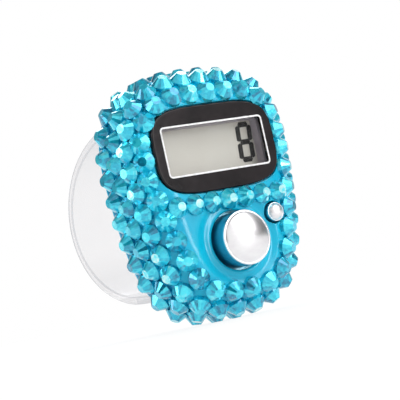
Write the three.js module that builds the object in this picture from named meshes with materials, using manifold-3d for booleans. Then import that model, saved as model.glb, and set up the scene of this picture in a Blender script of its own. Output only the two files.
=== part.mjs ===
// Finger tally counter: an oval case rimmed with glass stones, a window over a
// liquid crystal display, a chrome count button, a small chrome reset button and
// a clear band for the finger. Every length is in millimetres.
//
// The pieces are drawn on the display's own axes: X to the viewer's right, Y into
// the case, Z up, zero at the window's middle on the front face. At the end
// everything moves so that zero is the middle of the finger loop.
import * as THREE from "three";
import { mergeVertices } from "three/addons/utils/BufferGeometryUtils.js";
import Module from "manifold-3d";

const wasm = await Module();
wasm.setup();
const { Manifold, Mesh } = wasm;

// Case outline, seen from the front. Zero is the window's middle, which sits above
// the case's own middle.
const CASE_HALF_WIDTH = 13.7;
const CASE_HALF_HEIGHT = 18.6;
const CASE_DROP_SHARE = 0.3575;
const CASE_TAPER_SHARE = 0.125;
const CASE_TOP_POWER = 3.05;
const CASE_BOTTOM_POWER = 3.15;
const CASE_STEPS = 40;
const CASE_FILLET = 5.0;
const CASE_FILLET_STEPS = 3;
const CASE_WALL = 1.6;
const CAVITY_FILLET = 2.4;
const CAVITY_FILLET_STEPS = 2;
const SEAM_Y = 12.0;
const CASE_MIDDLE_Z = -CASE_HALF_HEIGHT * CASE_DROP_SHARE;

// Bezel and window
const BEZEL_SIDE_MARGIN = 2.45;
const BEZEL_HEIGHT_SHARE = 0.368;
const BEZEL_POWER = 3.8;
const BEZEL_STEPS = 36;
const BEZEL_THICK = 0.6;
const BEZEL_EDGE = 0.2;
const BEZEL_HALF_X = CASE_HALF_WIDTH - BEZEL_SIDE_MARGIN;
const BEZEL_HALF_Z = CASE_HALF_HEIGHT * BEZEL_HEIGHT_SHARE;
const WINDOW_SIDE_MARGIN = 1.95;
const WINDOW_TOP_MARGIN = 3.1;
const WINDOW_CORNER = 0.4;
const WINDOW_HALF_X = BEZEL_HALF_X - WINDOW_SIDE_MARGIN;
const WINDOW_HALF_Z = BEZEL_HALF_Z - WINDOW_TOP_MARGIN;
const LENS_THICK = 0.6;
const POCKET_GAP = 0.2;
const PANEL_PAD_MARGIN = 0.9;
const PANEL_PAD_BACK_Y = 2.4;
const OPENING_MARGIN = 0.85;
const OPENING_CORNER = 0.6;

// Stones. Each row lies a few millimetres of arc outside the flat front: less
// along the case's bottom and top than along its sides.
const STONE_RADIUS = 1.62;
const STONE_GIRDLE = 0.35;
const STONE_TABLE_RADIUS = 0.6;
const STONE_HEIGHT = 1.6;
const STONE_SINK = 0.25;
const STONE_SIDES = 6;
const STONE_PITCH = 3.36;
const STONE_TWIST_SHARE = 0.382;
const RIM_STONE_COUNT = 7;
const RIM_STONE_PITCH_SHARE = 0.2314;
const RIM_STONE_SHIFT = 0.1;
const RIM_STONE_DROP = 1.7;
const ROW_STARTS = { bottom: 2.44, side: 3.45, top: 1.75 };
const ROW_TWO = { bottom: 3.4, side: 2.85, top: 3.0 };
const ROW_THREE = { bottom: 6.8, side: 6.1, top: 6.0 };
const ROW_SEAM_MARGIN = 0.35;
const ROW_TOP_SHARES = [0.465, 0.922];
const ROW_BOTTOM_SHARES = [0.073, 0.503];
const ROW_FILL_SHARE = 0.841;
const ROW_PHASE_SHARES = [0.55, 0.05, 0.55, 0.05, 0.5];
const FILLET_ARC = (CASE_FILLET * Math.PI) / 2;
const ROW_LAST_ARC = FILLET_ARC + SEAM_Y - CASE_FILLET - STONE_RADIUS - ROW_SEAM_MARGIN;

// Display stack, front to back
const COLLAR_FRONT_Y = 1.3;
const COLLAR_WALL = 0.5;
const FRAME_SIDE_MARGIN = 1.1;
const FRAME_TOP_MARGIN = 1.25;
const FRAME_BOTTOM_MARGIN = 2.95;
const FRAME_CORNER = 0.8;
const FRAME_WALL = 0.5;
const FRAME_BACK_Y = 5.3;
const FRAME_HALF_X = WINDOW_HALF_X + FRAME_SIDE_MARGIN;
const FRAME_TOP_Z = WINDOW_HALF_Z + FRAME_TOP_MARGIN;
const FRAME_BOTTOM_Z = -WINDOW_HALF_Z - FRAME_BOTTOM_MARGIN;
const GLASS_FRONT_Y = 3.0;
const GLASS_THICK = 0.7;
const GLASS_GAP = 0.2;
const REAR_GLASS_OVERLAP = 0.45;
const GLASS_HALF_X = FRAME_HALF_X - FRAME_WALL - GLASS_GAP;
const GLASS_TOP_Z = FRAME_TOP_Z - FRAME_WALL - GLASS_GAP;
const GLASS_BOTTOM_Z = FRAME_BOTTOM_Z + FRAME_WALL + GLASS_GAP;
const REAR_GLASS_BOTTOM_Z = -WINDOW_HALF_Z - REAR_GLASS_OVERLAP;
const REAR_GLASS_Y = GLASS_FRONT_Y + GLASS_THICK;
const REFLECTOR_Y = REAR_GLASS_Y + GLASS_THICK;
const REFLECTOR_THICK = 0.2;
const REFLECTOR_INSET = 0.3;
const CUSHION_Y = REFLECTOR_Y + REFLECTOR_THICK;
const CUSHION_INSET = 1.2;
const STRIP_END_INSET = 0.4;
const STRIP_GAP = 0.3;

// Circuit board, its posts and its small parts. Places on the case are shares of
// its half-width and half-height from its middle.
const BOARD_FRONT_Y = 5.6;
const BOARD_THICK = 1.0;
const BOARD_BACK_Y = BOARD_FRONT_Y + BOARD_THICK;
const BOARD_INSET = 1.9;
const BOARD_HOLE_RADIUS = 0.8;
const POST_RADIUS = 1.4;
const POST_PILOT_RADIUS = 0.8;
const POST_PILOT_Y = 2.9;
const POST_SHARES = [[-0.489, -0.671], [0.489, -0.671], [0, 0.788]];
const BOARD_SCREW_RADIUS = 0.6;
const BOARD_SCREW_TIP_Y = 3.3;
const BOARD_SCREW_HEAD_RADIUS = 1.4;
const BOARD_SCREW_HEAD_HEIGHT = 0.8;
const SCREW_POINT_SHARE = 0.5;
const SCREW_HEAD_TOP_SHARE = 0.8;
const SCREW_SLOT_WIDTH = 0.35;
const SCREW_SLOT_DEPTH = 0.35;
const SCREW_STEPS = 9;
const CHIP_SHARES = [0.4, 0.65];
const CHIP_RADIUS = 3.0;
const CHIP_RISE = 1.3;
const CHIP_STEPS = 14;
const SMALL_PART_X = 3.0;
const SMALL_PART_DROP = 2.0;
const SMALL_PART_HALF_X = 0.8;
const SMALL_PART_HALF_Z = 0.45;
const CAPACITOR_HEIGHT = 0.9;
const RESISTOR_HEIGHT = 0.5;

// Count button, turned about its own axis, and the dish round it
const COUNT_SHARES = [0.029, -0.449];
const COUNT_RADIUS_SHARE = 0.3175;
const COUNT_RIM_Y = -1.9;
const COUNT_RISE = 1.45;
const COUNT_CLEARANCE = 0.55;
const COUNT_FLANGE_MARGIN = 0.8;
const COUNT_FLANGE_THICK = 0.8;
const COUNT_PAD_MARGIN = 1.2;
const COUNT_STEM_SHARE = 0.5;
const COUNT_STEM_LENGTH = 0.3;
const COUNT_STEPS = 28;
const COUNT_CAP_RADIUS = CASE_HALF_WIDTH * COUNT_RADIUS_SHARE;
const COUNT_HOLE_RADIUS = COUNT_CAP_RADIUS + COUNT_CLEARANCE;
const COUNT_FLANGE_RADIUS = COUNT_HOLE_RADIUS + COUNT_FLANGE_MARGIN;
const COUNT_PAD_RADIUS = COUNT_FLANGE_RADIUS + COUNT_PAD_MARGIN;
const COUNT_STEM_RADIUS = COUNT_CAP_RADIUS * COUNT_STEM_SHARE;
const DISH_MARGIN = 2.9;
const DISH_DEPTH = 0.5;
const DISH_STEPS = 36;
const DISH_RINGS = 3;
const DISH_RADIUS = COUNT_HOLE_RADIUS + DISH_MARGIN;

// Reset button
const RESET_SHARES = [0.5876, -0.277];
const RESET_RADIUS_SHARE = 0.1095;
const RESET_RIM_Y = -0.4;
const RESET_RISE = 0.95;
const RESET_CLEARANCE = 0.3;
const RESET_FLANGE_MARGIN = 0.4;
const RESET_FLANGE_THICK = 0.6;
const RESET_PAD_MARGIN = 0.4;
const RESET_STEM_SHARE = 0.67;
const RESET_STEM_LENGTH = 0.8;
const RESET_STEPS = 16;
const RESET_CAP_RADIUS = CASE_HALF_WIDTH * RESET_RADIUS_SHARE;
const RESET_HOLE_RADIUS = RESET_CAP_RADIUS + RESET_CLEARANCE;
const RESET_FLANGE_RADIUS = RESET_HOLE_RADIUS + RESET_FLANGE_MARGIN;
const RESET_PAD_RADIUS = RESET_FLANGE_RADIUS + RESET_PAD_MARGIN;
const RESET_STEM_RADIUS = RESET_CAP_RADIUS * RESET_STEM_SHARE;

// Both buttons
const CAP_RINGS = 4;
const CAP_POLE_SHARE = 0.06;
const BUTTON_PAD_BACK_Y = 2.2;
const BUTTON_GAP = 0.3;
const BUTTON_FLANGE_Y = BUTTON_PAD_BACK_Y + BUTTON_GAP;

// Silicone domes: outside rings from the board up, inside rings from the top down
const DOME_FLANGE_THICK = 0.4;
const DOME_STEPS = 12;
const DOME_ROOF_THICK = 0.7;
const DOME_EDGE = 0.25;
const COUNT_DOME_HEIGHT = 1.7;
const COUNT_DOME_RADII = {
  skirt: 3.6, foot: 2.7, shoulder: 1.9, top: 1.7, room: 2.1, roof: 1.1, pole: 0.3,
};
const RESET_DOME_HEIGHT = 1.4;
const RESET_DOME_RADII = {
  skirt: 2.0, foot: 1.6, shoulder: 1.15, top: 1.0, room: 1.2, roof: 0.7, pole: 0.2,
};

// Cell and its contacts
const CELL_RAISE = 0.6;
const CELL_Z = CASE_MIDDLE_Z + CELL_RAISE;
const CELL_RADIUS = 5.8;
const CELL_EDGE = 0.3;
const CELL_THICK = 3.05;
const CELL_STEPS = 26;
const HOLDER_GAP = 0.3;
const HOLDER_WALL = 1.1;
const HOLDER_INNER_RADIUS = CELL_RADIUS + HOLDER_GAP;
const HOLDER_OUTER_RADIUS = HOLDER_INNER_RADIUS + HOLDER_WALL;
const HOLDER_HEIGHT = 2.6;
const STRAP_THICK = 0.3;
const STRAP_HALF_Z = 1.4;
const STRAP_TIP_X = -3.0;
const STRAP_ARM_MARGIN = 1.0;
const STRAP_EDGE_MARGIN = 0.5;
const STRAP_ARM_X = HOLDER_OUTER_RADIUS + STRAP_ARM_MARGIN;
const STRAP_FOOT_X = CASE_HALF_WIDTH - BOARD_INSET - STRAP_EDGE_MARGIN;
const FRONT_STRAP_HALF_X = 4.4;

// Back cover, its screws and the bosses that take them
const COVER_BACK_Y = 13.6;
const COVER_INSET = 0.35;
const COVER_ROUND = 0.9;
const COVER_ROUND_STEPS = 3;
const COVER_LIP_OUTER = 1.95;
const COVER_LIP_INNER = 2.85;
const COVER_LIP_FRONT_Y = 10.9;
const FINGER_PAD_RISE = 0.4;
const FINGER_PAD_HALF_X = 5.5;
const FINGER_PAD_SHARE = 0.47;
const FINGER_PAD_CORNER = 2.5;
const BOSS_RADIUS = 1.9;
const BOSS_CLEARANCE = 2.25;
const BOSS_FRONT_Y = 7.2;
const BOSS_PILOT_RADIUS = 1.05;
const BOSS_PILOT_Y = 8.2;
const SCREW_HEIGHT_SHARES = [0.43, -0.43];
const SCREW_INSET = 3.3;
const SCREW_RADIUS = 0.8;
const SCREW_TIP_Y = 8.8;
const SCREW_HEAD_RADIUS = 1.5;
const SCREW_HEAD_SEAT_Y = 12.7;
const SCREW_HEAD_HEIGHT = 0.8;
const SCREW_RECESS_RADIUS = 1.8;
const SCREW_HOLE_RADIUS = 1.1;

// Finger band: a clear strip bent into a hoop, its ends held in the cover's slots
const BAND_DROP = 0.15;
const BAND_TALL_SHARE = 0.801;
const BAND_START_Y = 15.8;
const BAND_DEEP = 21.3;
const BAND_THICK = 1.3;
const BAND_EDGE_SHARE = 0.3;
const BAND_WIDTH_SHARE = 0.657;
const BAND_NECK_SHARE = 0.467;
const BAND_HEAD_SHARE = 0.38;
const BAND_NECK_START_Y = 13.8;
const BAND_NECK_END_Y = 20.5;
const BAND_STEPS = 30;
const BAND_SLOT_GAP = 0.3;
const BAND_HEAD_FRONT_Y = 10.9;
const BAND_HEAD_REACH = 0.9;
const BAND_MIDDLE_Z = CASE_MIDDLE_Z - BAND_DROP;
const BAND_TALL = CASE_HALF_HEIGHT * BAND_TALL_SHARE;
const BAND_HALF_WIDTH = CASE_HALF_WIDTH * BAND_WIDTH_SHARE;
const BAND_NECK_HALF_WIDTH = CASE_HALF_WIDTH * BAND_NECK_SHARE;
const BAND_HEAD_HALF_WIDTH = CASE_HALF_WIDTH * BAND_HEAD_SHARE;
const BAND_SLOT_HALF_WIDTH = BAND_NECK_HALF_WIDTH + BAND_SLOT_GAP;

// Middle of the finger loop, on the display's axes
const LOOP_Y = 24.7;
const LOOP_Z = BAND_MIDDLE_Z;

// How far a cutter runs past what it cuts, how close two points count as one, and
// how many points the case's outline is first drawn with
const OVERRUN = 1.0;
const MERGE_GAP = 1e-5;
const FINE_STEPS = 1440;
const CORNER_STEPS = 3;

// Turns a closed geometry into a solid for cutting and joining
function solid(geometry) {
  const bare = geometry.clone();
  bare.deleteAttribute("normal");
  bare.deleteAttribute("uv");
  const merged = mergeVertices(bare, MERGE_GAP);
  const vertProperties = Float32Array.from(merged.attributes.position.array);
  const triVerts = Uint32Array.from(merged.index.array);
  return new Manifold(new Mesh({ numProp: 3, vertProperties, triVerts }));
}

// Joins rings of equal length into a closed skin, with a fan over each end
function skin(rings) {
  const count = rings[0].length;
  const positions = rings.flat(2);
  const faces = [];
  for (let r = 0; r + 1 < rings.length; r += 1) {
    for (let i = 0; i < count; i += 1) {
      const a = r * count + i;
      const b = r * count + ((i + 1) % count);
      faces.push(a, b, b + count, a, b + count, a + count);
    }
  }
  const last = (rings.length - 1) * count;
  for (let i = 1; i + 1 < count; i += 1) {
    faces.push(0, i + 1, i);
    faces.push(last, last + i, last + i + 1);
  }
  if (signedVolume(positions, faces) < 0) {
    faces.reverse();
  }
  const geometry = new THREE.BufferGeometry();
  geometry.setAttribute("position", new THREE.Float32BufferAttribute(positions, 3));
  geometry.setIndex(faces);
  return solid(geometry);
}

function signedVolume(positions, faces) {
  const corner = (k) => new THREE.Vector3().fromArray(positions, faces[k] * 3);
  let total = 0;
  for (let k = 0; k < faces.length; k += 3) {
    total += corner(k).dot(corner(k + 1).cross(corner(k + 2)));
  }
  return total;
}

// A prism along Y over points given as [x, z]
function prism(points, frontY, backY) {
  const ring = (y) => points.map(([x, z]) => [x, y, z]);
  return skin([ring(frontY), ring(backY)]);
}

function box(lowX, highX, frontY, backY, lowZ, highZ) {
  const corners = [[lowX, lowZ], [highX, lowZ], [highX, highZ], [lowX, highZ]];
  return prism(corners, frontY, backY);
}

// A circle facing Y, as [x, y, z] points
function circle([x, z], radius, y, steps) {
  const ring = [];
  for (let i = 0; i < steps; i += 1) {
    const angle = (i / steps) * 2 * Math.PI;
    ring.push([x + radius * Math.cos(angle), y, z + radius * Math.sin(angle)]);
  }
  return ring;
}

// A piece turned about the Y axis through a place, from a profile of [radius, y]
function turned(place, profile, steps) {
  return skin(profile.map(([radius, y]) => circle(place, radius, y, steps)));
}

function rod(place, radius, frontY, backY, steps) {
  return turned(place, [[radius, frontY], [radius, backY]], steps);
}

// A quarter of an ellipse from its pole to its rim, as a profile of [radius, y]
function domeProfile(radius, rimY, rise) {
  const profile = [];
  for (let k = 0; k <= CAP_RINGS; k += 1) {
    const share = CAP_POLE_SHARE + (1 - CAP_POLE_SHARE) * (k / CAP_RINGS);
    const angle = (share * Math.PI) / 2;
    profile.push([radius * Math.sin(angle), rimY - rise * Math.cos(angle)]);
  }
  return profile;
}

function roundedBox(halfX, lowZ, highZ, corner, frontY, backY) {
  const points = [];
  const middleZ = (lowZ + highZ) / 2;
  const halfZ = (highZ - lowZ) / 2;
  for (let quarter = 0; quarter < 4; quarter += 1) {
    const signX = quarter === 0 || quarter === 3 ? 1 : -1;
    const signZ = quarter < 2 ? 1 : -1;
    for (let k = 0; k <= CORNER_STEPS; k += 1) {
      const angle = ((quarter + k / CORNER_STEPS) * Math.PI) / 2;
      const x = signX * (halfX - corner) + corner * Math.cos(angle);
      const z = signZ * (halfZ - corner) + corner * Math.sin(angle);
      points.push([x, middleZ + z]);
    }
  }
  return prism(points, frontY, backY);
}

function bend(value, power) {
  return Math.sign(value) * Math.abs(value) ** (2 / power);
}

// The bezel's outline: a rounded oblong with slightly bowed sides
function bezelRing(margin, y) {
  const points = [];
  for (let i = 0; i < BEZEL_STEPS; i += 1) {
    const angle = (i / BEZEL_STEPS) * 2 * Math.PI;
    const x = bend(Math.cos(angle), BEZEL_POWER) * (BEZEL_HALF_X + margin);
    const z = bend(Math.sin(angle), BEZEL_POWER) * (BEZEL_HALF_Z + margin);
    points.push([x, y, z]);
  }
  return points;
}

function bezelPrism(margin, frontY, backY) {
  return skin([bezelRing(margin, frontY), bezelRing(margin, backY)]);
}

function windowPrism(growth, frontY, backY) {
  const halfZ = WINDOW_HALF_Z + growth;
  return roundedBox(WINDOW_HALF_X + growth, -halfZ, halfZ, WINDOW_CORNER + growth, frontY, backY);
}

// Evenly spaced points on the case's outline with their outward directions
function caseOutline(steps) {
  const raw = [];
  for (let i = 0; i < FINE_STEPS; i += 1) {
    const angle = (i / FINE_STEPS) * 2 * Math.PI;
    const power = Math.sin(angle) > 0 ? CASE_TOP_POWER : CASE_BOTTOM_POWER;
    const up = bend(Math.sin(angle), power);
    const across = bend(Math.cos(angle), power) * (1 + CASE_TAPER_SHARE * up);
    raw.push([across * CASE_HALF_WIDTH, up * CASE_HALF_HEIGHT]);
  }
  const points = spaced(raw, steps, 0);
  return points.map(([x, z], i) => {
    const next = points[(i + 1) % steps];
    const before = points[(i + steps - 1) % steps];
    const run = Math.hypot(next[0] - before[0], next[1] - before[1]);
    const normal = [(next[1] - before[1]) / run, -(next[0] - before[0]) / run];
    return { x, z: z + CASE_MIDDLE_Z, normal };
  });
}

// Points at equal steps along a closed line, started part of a step along
function spaced(line, count, phase) {
  const lengths = [0];
  line.forEach((point, i) => {
    lengths.push(lengths[i] + distance(point, line[(i + 1) % line.length]));
  });
  const total = lengths[line.length];
  const points = [];
  let at = 0;
  for (let i = 0; i < count; i += 1) {
    const wanted = ((i + phase) / count) * total;
    while (lengths[at + 1] < wanted) {
      at += 1;
    }
    const share = (wanted - lengths[at]) / (lengths[at + 1] - lengths[at]);
    const next = line[(at + 1) % line.length];
    points.push(line[at].map((value, k) => value + share * (next[k] - value)));
  }
  return points;
}

// Distance between two points by their first three values
function distance(a, b) {
  return Math.hypot(...a.slice(0, 3).map((value, k) => b[k] - value));
}

// Half-width of the case at a height
function halfWidthAt(height) {
  const up = (height - CASE_MIDDLE_Z) / CASE_HALF_HEIGHT;
  const power = up > 0 ? CASE_TOP_POWER : CASE_BOTTOM_POWER;
  const sine = Math.abs(up) ** (power / 2);
  const across = bend(Math.sqrt(1 - sine * sine), power) * (1 + CASE_TAPER_SHARE * up);
  return across * CASE_HALF_WIDTH;
}

// A place on the case, from shares of its half-width and half-height
function casePlace([acrossShare, upShare]) {
  return [CASE_HALF_WIDTH * acrossShare, CASE_MIDDLE_Z + CASE_HALF_HEIGHT * upShare];
}

const OUTLINE = caseOutline(CASE_STEPS);

function outlineRing(inset, y) {
  return OUTLINE.map(({ x, z, normal }) => [x - normal[0] * inset, y, z - normal[1] * inset]);
}

// The case from its flat front, round the fillet, and straight back
function caseBody(inset, frontY, fillet, filletSteps, backY) {
  const rings = [];
  for (let k = 0; k <= filletSteps; k += 1) {
    const angle = ((k / filletSteps) * Math.PI) / 2;
    const ringInset = inset + fillet * (1 - Math.sin(angle));
    rings.push(outlineRing(ringInset, frontY + fillet * (1 - Math.cos(angle))));
  }
  rings.push(outlineRing(inset, backY));
  return skin(rings);
}

// Where the surface lies an arc away from the flat front, and which way it faces
function surfacePoint({ x, z, normal }, arc) {
  const angle = Math.min(arc, FILLET_ARC) / CASE_FILLET;
  const inset = CASE_FILLET * (1 - Math.sin(angle));
  const y = CASE_FILLET * (1 - Math.cos(angle)) + Math.max(0, arc - FILLET_ARC);
  const seat = [x - normal[0] * inset, y, z - normal[1] * inset];
  const axis = [normal[0] * Math.sin(angle), -Math.cos(angle), normal[1] * Math.sin(angle)];
  return [...seat, ...axis];
}

function ramp(value, low, high) {
  return Math.min(1, Math.max(0, (value - low) / (high - low)));
}

// Height above the case's middle as a share of its half-height
function upShareAt(z) {
  return (z - CASE_MIDDLE_Z) / CASE_HALF_HEIGHT;
}

// Blends a row's bottom, side and top lengths by height
function byHeight(lengths, z) {
  const top = ramp(upShareAt(z), ...ROW_TOP_SHARES);
  const bottom = ramp(-upShareAt(z), ...ROW_BOTTOM_SHARES);
  return lengths.side + (lengths.top - lengths.side) * top + (lengths.bottom - lengths.side) * bottom;
}

// Arc from the flat front to each row, front to back. The last one fills the gap
// that opens between the third row and the back row over the top.
function rowArcs(z) {
  const first = byHeight(ROW_STARTS, z);
  const second = first + byHeight(ROW_TWO, z);
  const third = first + byHeight(ROW_THREE, z);
  return [first, second, third, ROW_LAST_ARC, (third + ROW_LAST_ARC) / 2];
}

// Seats and outward axes of every stone, as [x, y, z, axisX, axisY, axisZ]
function stoneSeats() {
  const fine = caseOutline(FINE_STEPS);
  const rows = ROW_PHASE_SHARES.map((phase, row) => {
    const line = fine.map((place) => surfacePoint(place, rowArcs(place.z)[row]));
    const length = line.reduce((sum, point, i) => sum + distance(point, line[(i + 1) % line.length]), 0);
    return spaced(line, Math.floor(length / STONE_PITCH), phase);
  });
  const fill = rows.pop().filter((seat) => upShareAt(seat[2]) > ROW_FILL_SHARE);
  return [...rows.flat(), ...fill, ...rimSeats()];
}

// The straight row between the bezel and the count button
function rimSeats() {
  const pitch = CASE_HALF_WIDTH * RIM_STONE_PITCH_SHARE;
  const z = -BEZEL_HALF_Z - RIM_STONE_DROP;
  const seats = [];
  for (let i = 0; i < RIM_STONE_COUNT; i += 1) {
    const x = RIM_STONE_SHIFT + (i - (RIM_STONE_COUNT - 1) / 2) * pitch;
    const inward = Math.max(0, CASE_FILLET - (halfWidthAt(z) - Math.abs(x)));
    const y = CASE_FILLET - Math.sqrt(CASE_FILLET ** 2 - inward ** 2);
    seats.push([x, y, z, 0, -1, 0]);
  }
  return seats;
}

// One faceted stone: a straight girdle, then a tapering crown with a small flat table
function stone([x, y, z, axisX, axisY, axisZ], index) {
  const axis = new THREE.Vector3(axisX, axisY, axisZ).normalize();
  const turn = new THREE.Quaternion().setFromUnitVectors(new THREE.Vector3(0, -1, 0), axis);
  const seat = new THREE.Vector3(x, y, z);
  const ring = (radius, rise) => {
    const points = [];
    for (let i = 0; i < STONE_SIDES; i += 1) {
      const angle = (index * STONE_TWIST_SHARE + i / STONE_SIDES) * 2 * Math.PI;
      const point = new THREE.Vector3(radius * Math.cos(angle), -rise, radius * Math.sin(angle));
      points.push(point.applyQuaternion(turn).add(seat).toArray());
    }
    return points;
  };
  return skin([
    ring(STONE_RADIUS, -STONE_SINK),
    ring(STONE_RADIUS, STONE_GIRDLE),
    ring(STONE_TABLE_RADIUS, STONE_HEIGHT),
  ]);
}

const COUNT_PLACE = casePlace(COUNT_SHARES);
const RESET_PLACE = casePlace(RESET_SHARES);
const CHIP_PLACE = casePlace(CHIP_SHARES);
const CELL_PLACE = [0, CELL_Z];
const POST_PLACES = POST_SHARES.map(casePlace);
const SCREW_PLACES = SCREW_HEIGHT_SHARES.flatMap((upShare) => {
  const [, height] = casePlace([0, upShare]);
  const reach = halfWidthAt(height) - SCREW_INSET;
  return [[-reach, height], [reach, height]];
});

// The dish round the count button, as the piece that is cut away
function dishCutter() {
  const profile = [[DISH_RADIUS, -OVERRUN]];
  const floorShare = COUNT_STEM_RADIUS / DISH_RADIUS;
  for (let k = 0; k <= DISH_RINGS; k += 1) {
    const share = 1 - (k / DISH_RINGS) * (1 - floorShare);
    profile.push([DISH_RADIUS * share, DISH_DEPTH * (1 - share * share)]);
  }
  return turned(COUNT_PLACE, profile, DISH_STEPS);
}

// What the front wall carries inside: pads behind the bezel and the buttons, posts
// for the circuit board and bosses for the cover's screws
function housingPads() {
  const frontY = CASE_WALL / 2;
  const posts = POST_PLACES.map((place) => rod(place, POST_RADIUS, frontY, BOARD_FRONT_Y, SCREW_STEPS));
  const bosses = SCREW_PLACES.map((place) => rod(place, BOSS_RADIUS, BOSS_FRONT_Y, SEAM_Y, SCREW_STEPS));
  return Manifold.union([
    bezelPrism(PANEL_PAD_MARGIN, frontY, PANEL_PAD_BACK_Y),
    rod(COUNT_PLACE, COUNT_PAD_RADIUS, frontY, BUTTON_PAD_BACK_Y, COUNT_STEPS),
    rod(RESET_PLACE, RESET_PAD_RADIUS, frontY, BUTTON_PAD_BACK_Y, RESET_STEPS),
    ...posts,
    ...bosses,
  ]);
}

// The bezel's pocket and the two button holes, which the stones keep clear of too
function frontHoles(frontY) {
  const backY = BUTTON_PAD_BACK_Y + OVERRUN;
  return Manifold.union([
    bezelPrism(POCKET_GAP, frontY, BEZEL_THICK + LENS_THICK),
    rod(COUNT_PLACE, COUNT_HOLE_RADIUS, frontY, backY, COUNT_STEPS),
    rod(RESET_PLACE, RESET_HOLE_RADIUS, frontY, backY, RESET_STEPS),
  ]);
}

function displayOpening() {
  const halfX = WINDOW_HALF_X + OPENING_MARGIN;
  const halfZ = WINDOW_HALF_Z + OPENING_MARGIN;
  return roundedBox(halfX, -halfZ, halfZ, OPENING_CORNER, 0, PANEL_PAD_BACK_Y + OVERRUN);
}

function frontHousing() {
  const outer = caseBody(0, 0, CASE_FILLET, CASE_FILLET_STEPS, SEAM_Y);
  const cavity = caseBody(CASE_WALL, CASE_WALL, CAVITY_FILLET, CAVITY_FILLET_STEPS, SEAM_Y + OVERRUN);
  const postPilots = POST_PLACES.map((place) => {
    return rod(place, POST_PILOT_RADIUS, POST_PILOT_Y, BOARD_FRONT_Y + OVERRUN, SCREW_STEPS);
  });
  const bossPilots = SCREW_PLACES.map((place) => {
    return rod(place, BOSS_PILOT_RADIUS, BOSS_PILOT_Y, SEAM_Y + OVERRUN, SCREW_STEPS);
  });
  const cuts = [frontHoles(-OVERRUN), displayOpening(), dishCutter(), ...postPilots, ...bossPilots];
  const shell = outer.subtract(cavity).add(housingPads().intersect(outer)).subtract(Manifold.union(cuts));
  const stones = Manifold.union(stoneSeats().map(stone));
  return shell.add(stones.subtract(cavity.add(frontHoles(-STONE_HEIGHT - OVERRUN))));
}

function bezel() {
  const plate = skin([bezelRing(-BEZEL_EDGE, 0), bezelRing(0, BEZEL_EDGE), bezelRing(0, BEZEL_THICK)]);
  return plate.subtract(windowPrism(0, -OVERRUN, BEZEL_THICK + OVERRUN));
}

function displayFrame() {
  const holder = roundedBox(
    FRAME_HALF_X,
    FRAME_BOTTOM_Z,
    FRAME_TOP_Z,
    FRAME_CORNER,
    PANEL_PAD_BACK_Y,
    FRAME_BACK_Y,
  );
  const collar = windowPrism(COLLAR_WALL, COLLAR_FRONT_Y, PANEL_PAD_BACK_Y);
  const room = roundedBox(
    FRAME_HALF_X - FRAME_WALL,
    FRAME_BOTTOM_Z + FRAME_WALL,
    FRAME_TOP_Z - FRAME_WALL,
    FRAME_CORNER - FRAME_WALL,
    GLASS_FRONT_Y,
    FRAME_BACK_Y + OVERRUN,
  );
  const sight = windowPrism(0, 0, FRAME_BACK_Y);
  return holder.add(collar).subtract(room.add(sight));
}

// A flat layer of the display, inset from the rear glass's edges
function displayLayer(inset, frontY, backY) {
  const halfX = GLASS_HALF_X - inset;
  return box(-halfX, halfX, frontY, backY, REAR_GLASS_BOTTOM_Z + inset, GLASS_TOP_Z - inset);
}

function frontGlass() {
  return box(-GLASS_HALF_X, GLASS_HALF_X, GLASS_FRONT_Y, REAR_GLASS_Y, GLASS_BOTTOM_Z, GLASS_TOP_Z);
}

// The rubber strip that joins the front glass's lower edge to the board
function contactStrip() {
  const halfX = GLASS_HALF_X - STRIP_END_INSET;
  const topZ = REAR_GLASS_BOTTOM_Z - STRIP_GAP;
  return box(-halfX, halfX, REAR_GLASS_Y, BOARD_FRONT_Y, GLASS_BOTTOM_Z, topZ);
}

function boardPlate() {
  const plate = skin([outlineRing(BOARD_INSET, BOARD_FRONT_Y), outlineRing(BOARD_INSET, BOARD_BACK_Y)]);
  const holes = POST_PLACES.map((place) => {
    return rod(place, BOARD_HOLE_RADIUS, BOARD_FRONT_Y - OVERRUN, BOARD_BACK_Y + OVERRUN, SCREW_STEPS);
  });
  return plate.subtract(Manifold.union(holes));
}

// The chip under its drop of black resin
function coveredChip() {
  const profile = domeProfile(CHIP_RADIUS, -BOARD_BACK_Y, CHIP_RISE).map(([radius, y]) => [radius, -y]);
  return turned(CHIP_PLACE, profile, CHIP_STEPS);
}

// A small part soldered below the cell holder, to the left or right
function onBoard(side, height) {
  const x = side * SMALL_PART_X;
  const z = CELL_Z - HOLDER_OUTER_RADIUS - SMALL_PART_DROP;
  return box(
    x - SMALL_PART_HALF_X,
    x + SMALL_PART_HALF_X,
    BOARD_BACK_Y,
    BOARD_BACK_Y + height,
    z - SMALL_PART_HALF_Z,
    z + SMALL_PART_HALF_Z,
  );
}

// A slotted screw whose head faces the back
function screw(place, shankRadius, tipY, seatY, headRadius, headHeight) {
  const headY = seatY + headHeight;
  const profile = [
    [shankRadius * SCREW_POINT_SHARE, tipY],
    [shankRadius, tipY + shankRadius * SCREW_POINT_SHARE],
    [shankRadius, seatY],
    [headRadius, seatY],
    [headRadius, seatY + headHeight / 2],
    [headRadius * SCREW_HEAD_TOP_SHARE, headY],
  ];
  const [x, z] = place;
  const reach = headRadius + OVERRUN;
  const halfSlot = SCREW_SLOT_WIDTH / 2;
  const slotY = headY - SCREW_SLOT_DEPTH;
  const slot = box(x - reach, x + reach, slotY, headY + OVERRUN, z - halfSlot, z + halfSlot);
  return turned(place, profile, SCREW_STEPS).subtract(slot);
}

function boardScrew(place) {
  return screw(
    place,
    BOARD_SCREW_RADIUS,
    BOARD_SCREW_TIP_Y,
    BOARD_BACK_Y,
    BOARD_SCREW_HEAD_RADIUS,
    BOARD_SCREW_HEAD_HEIGHT,
  );
}

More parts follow.
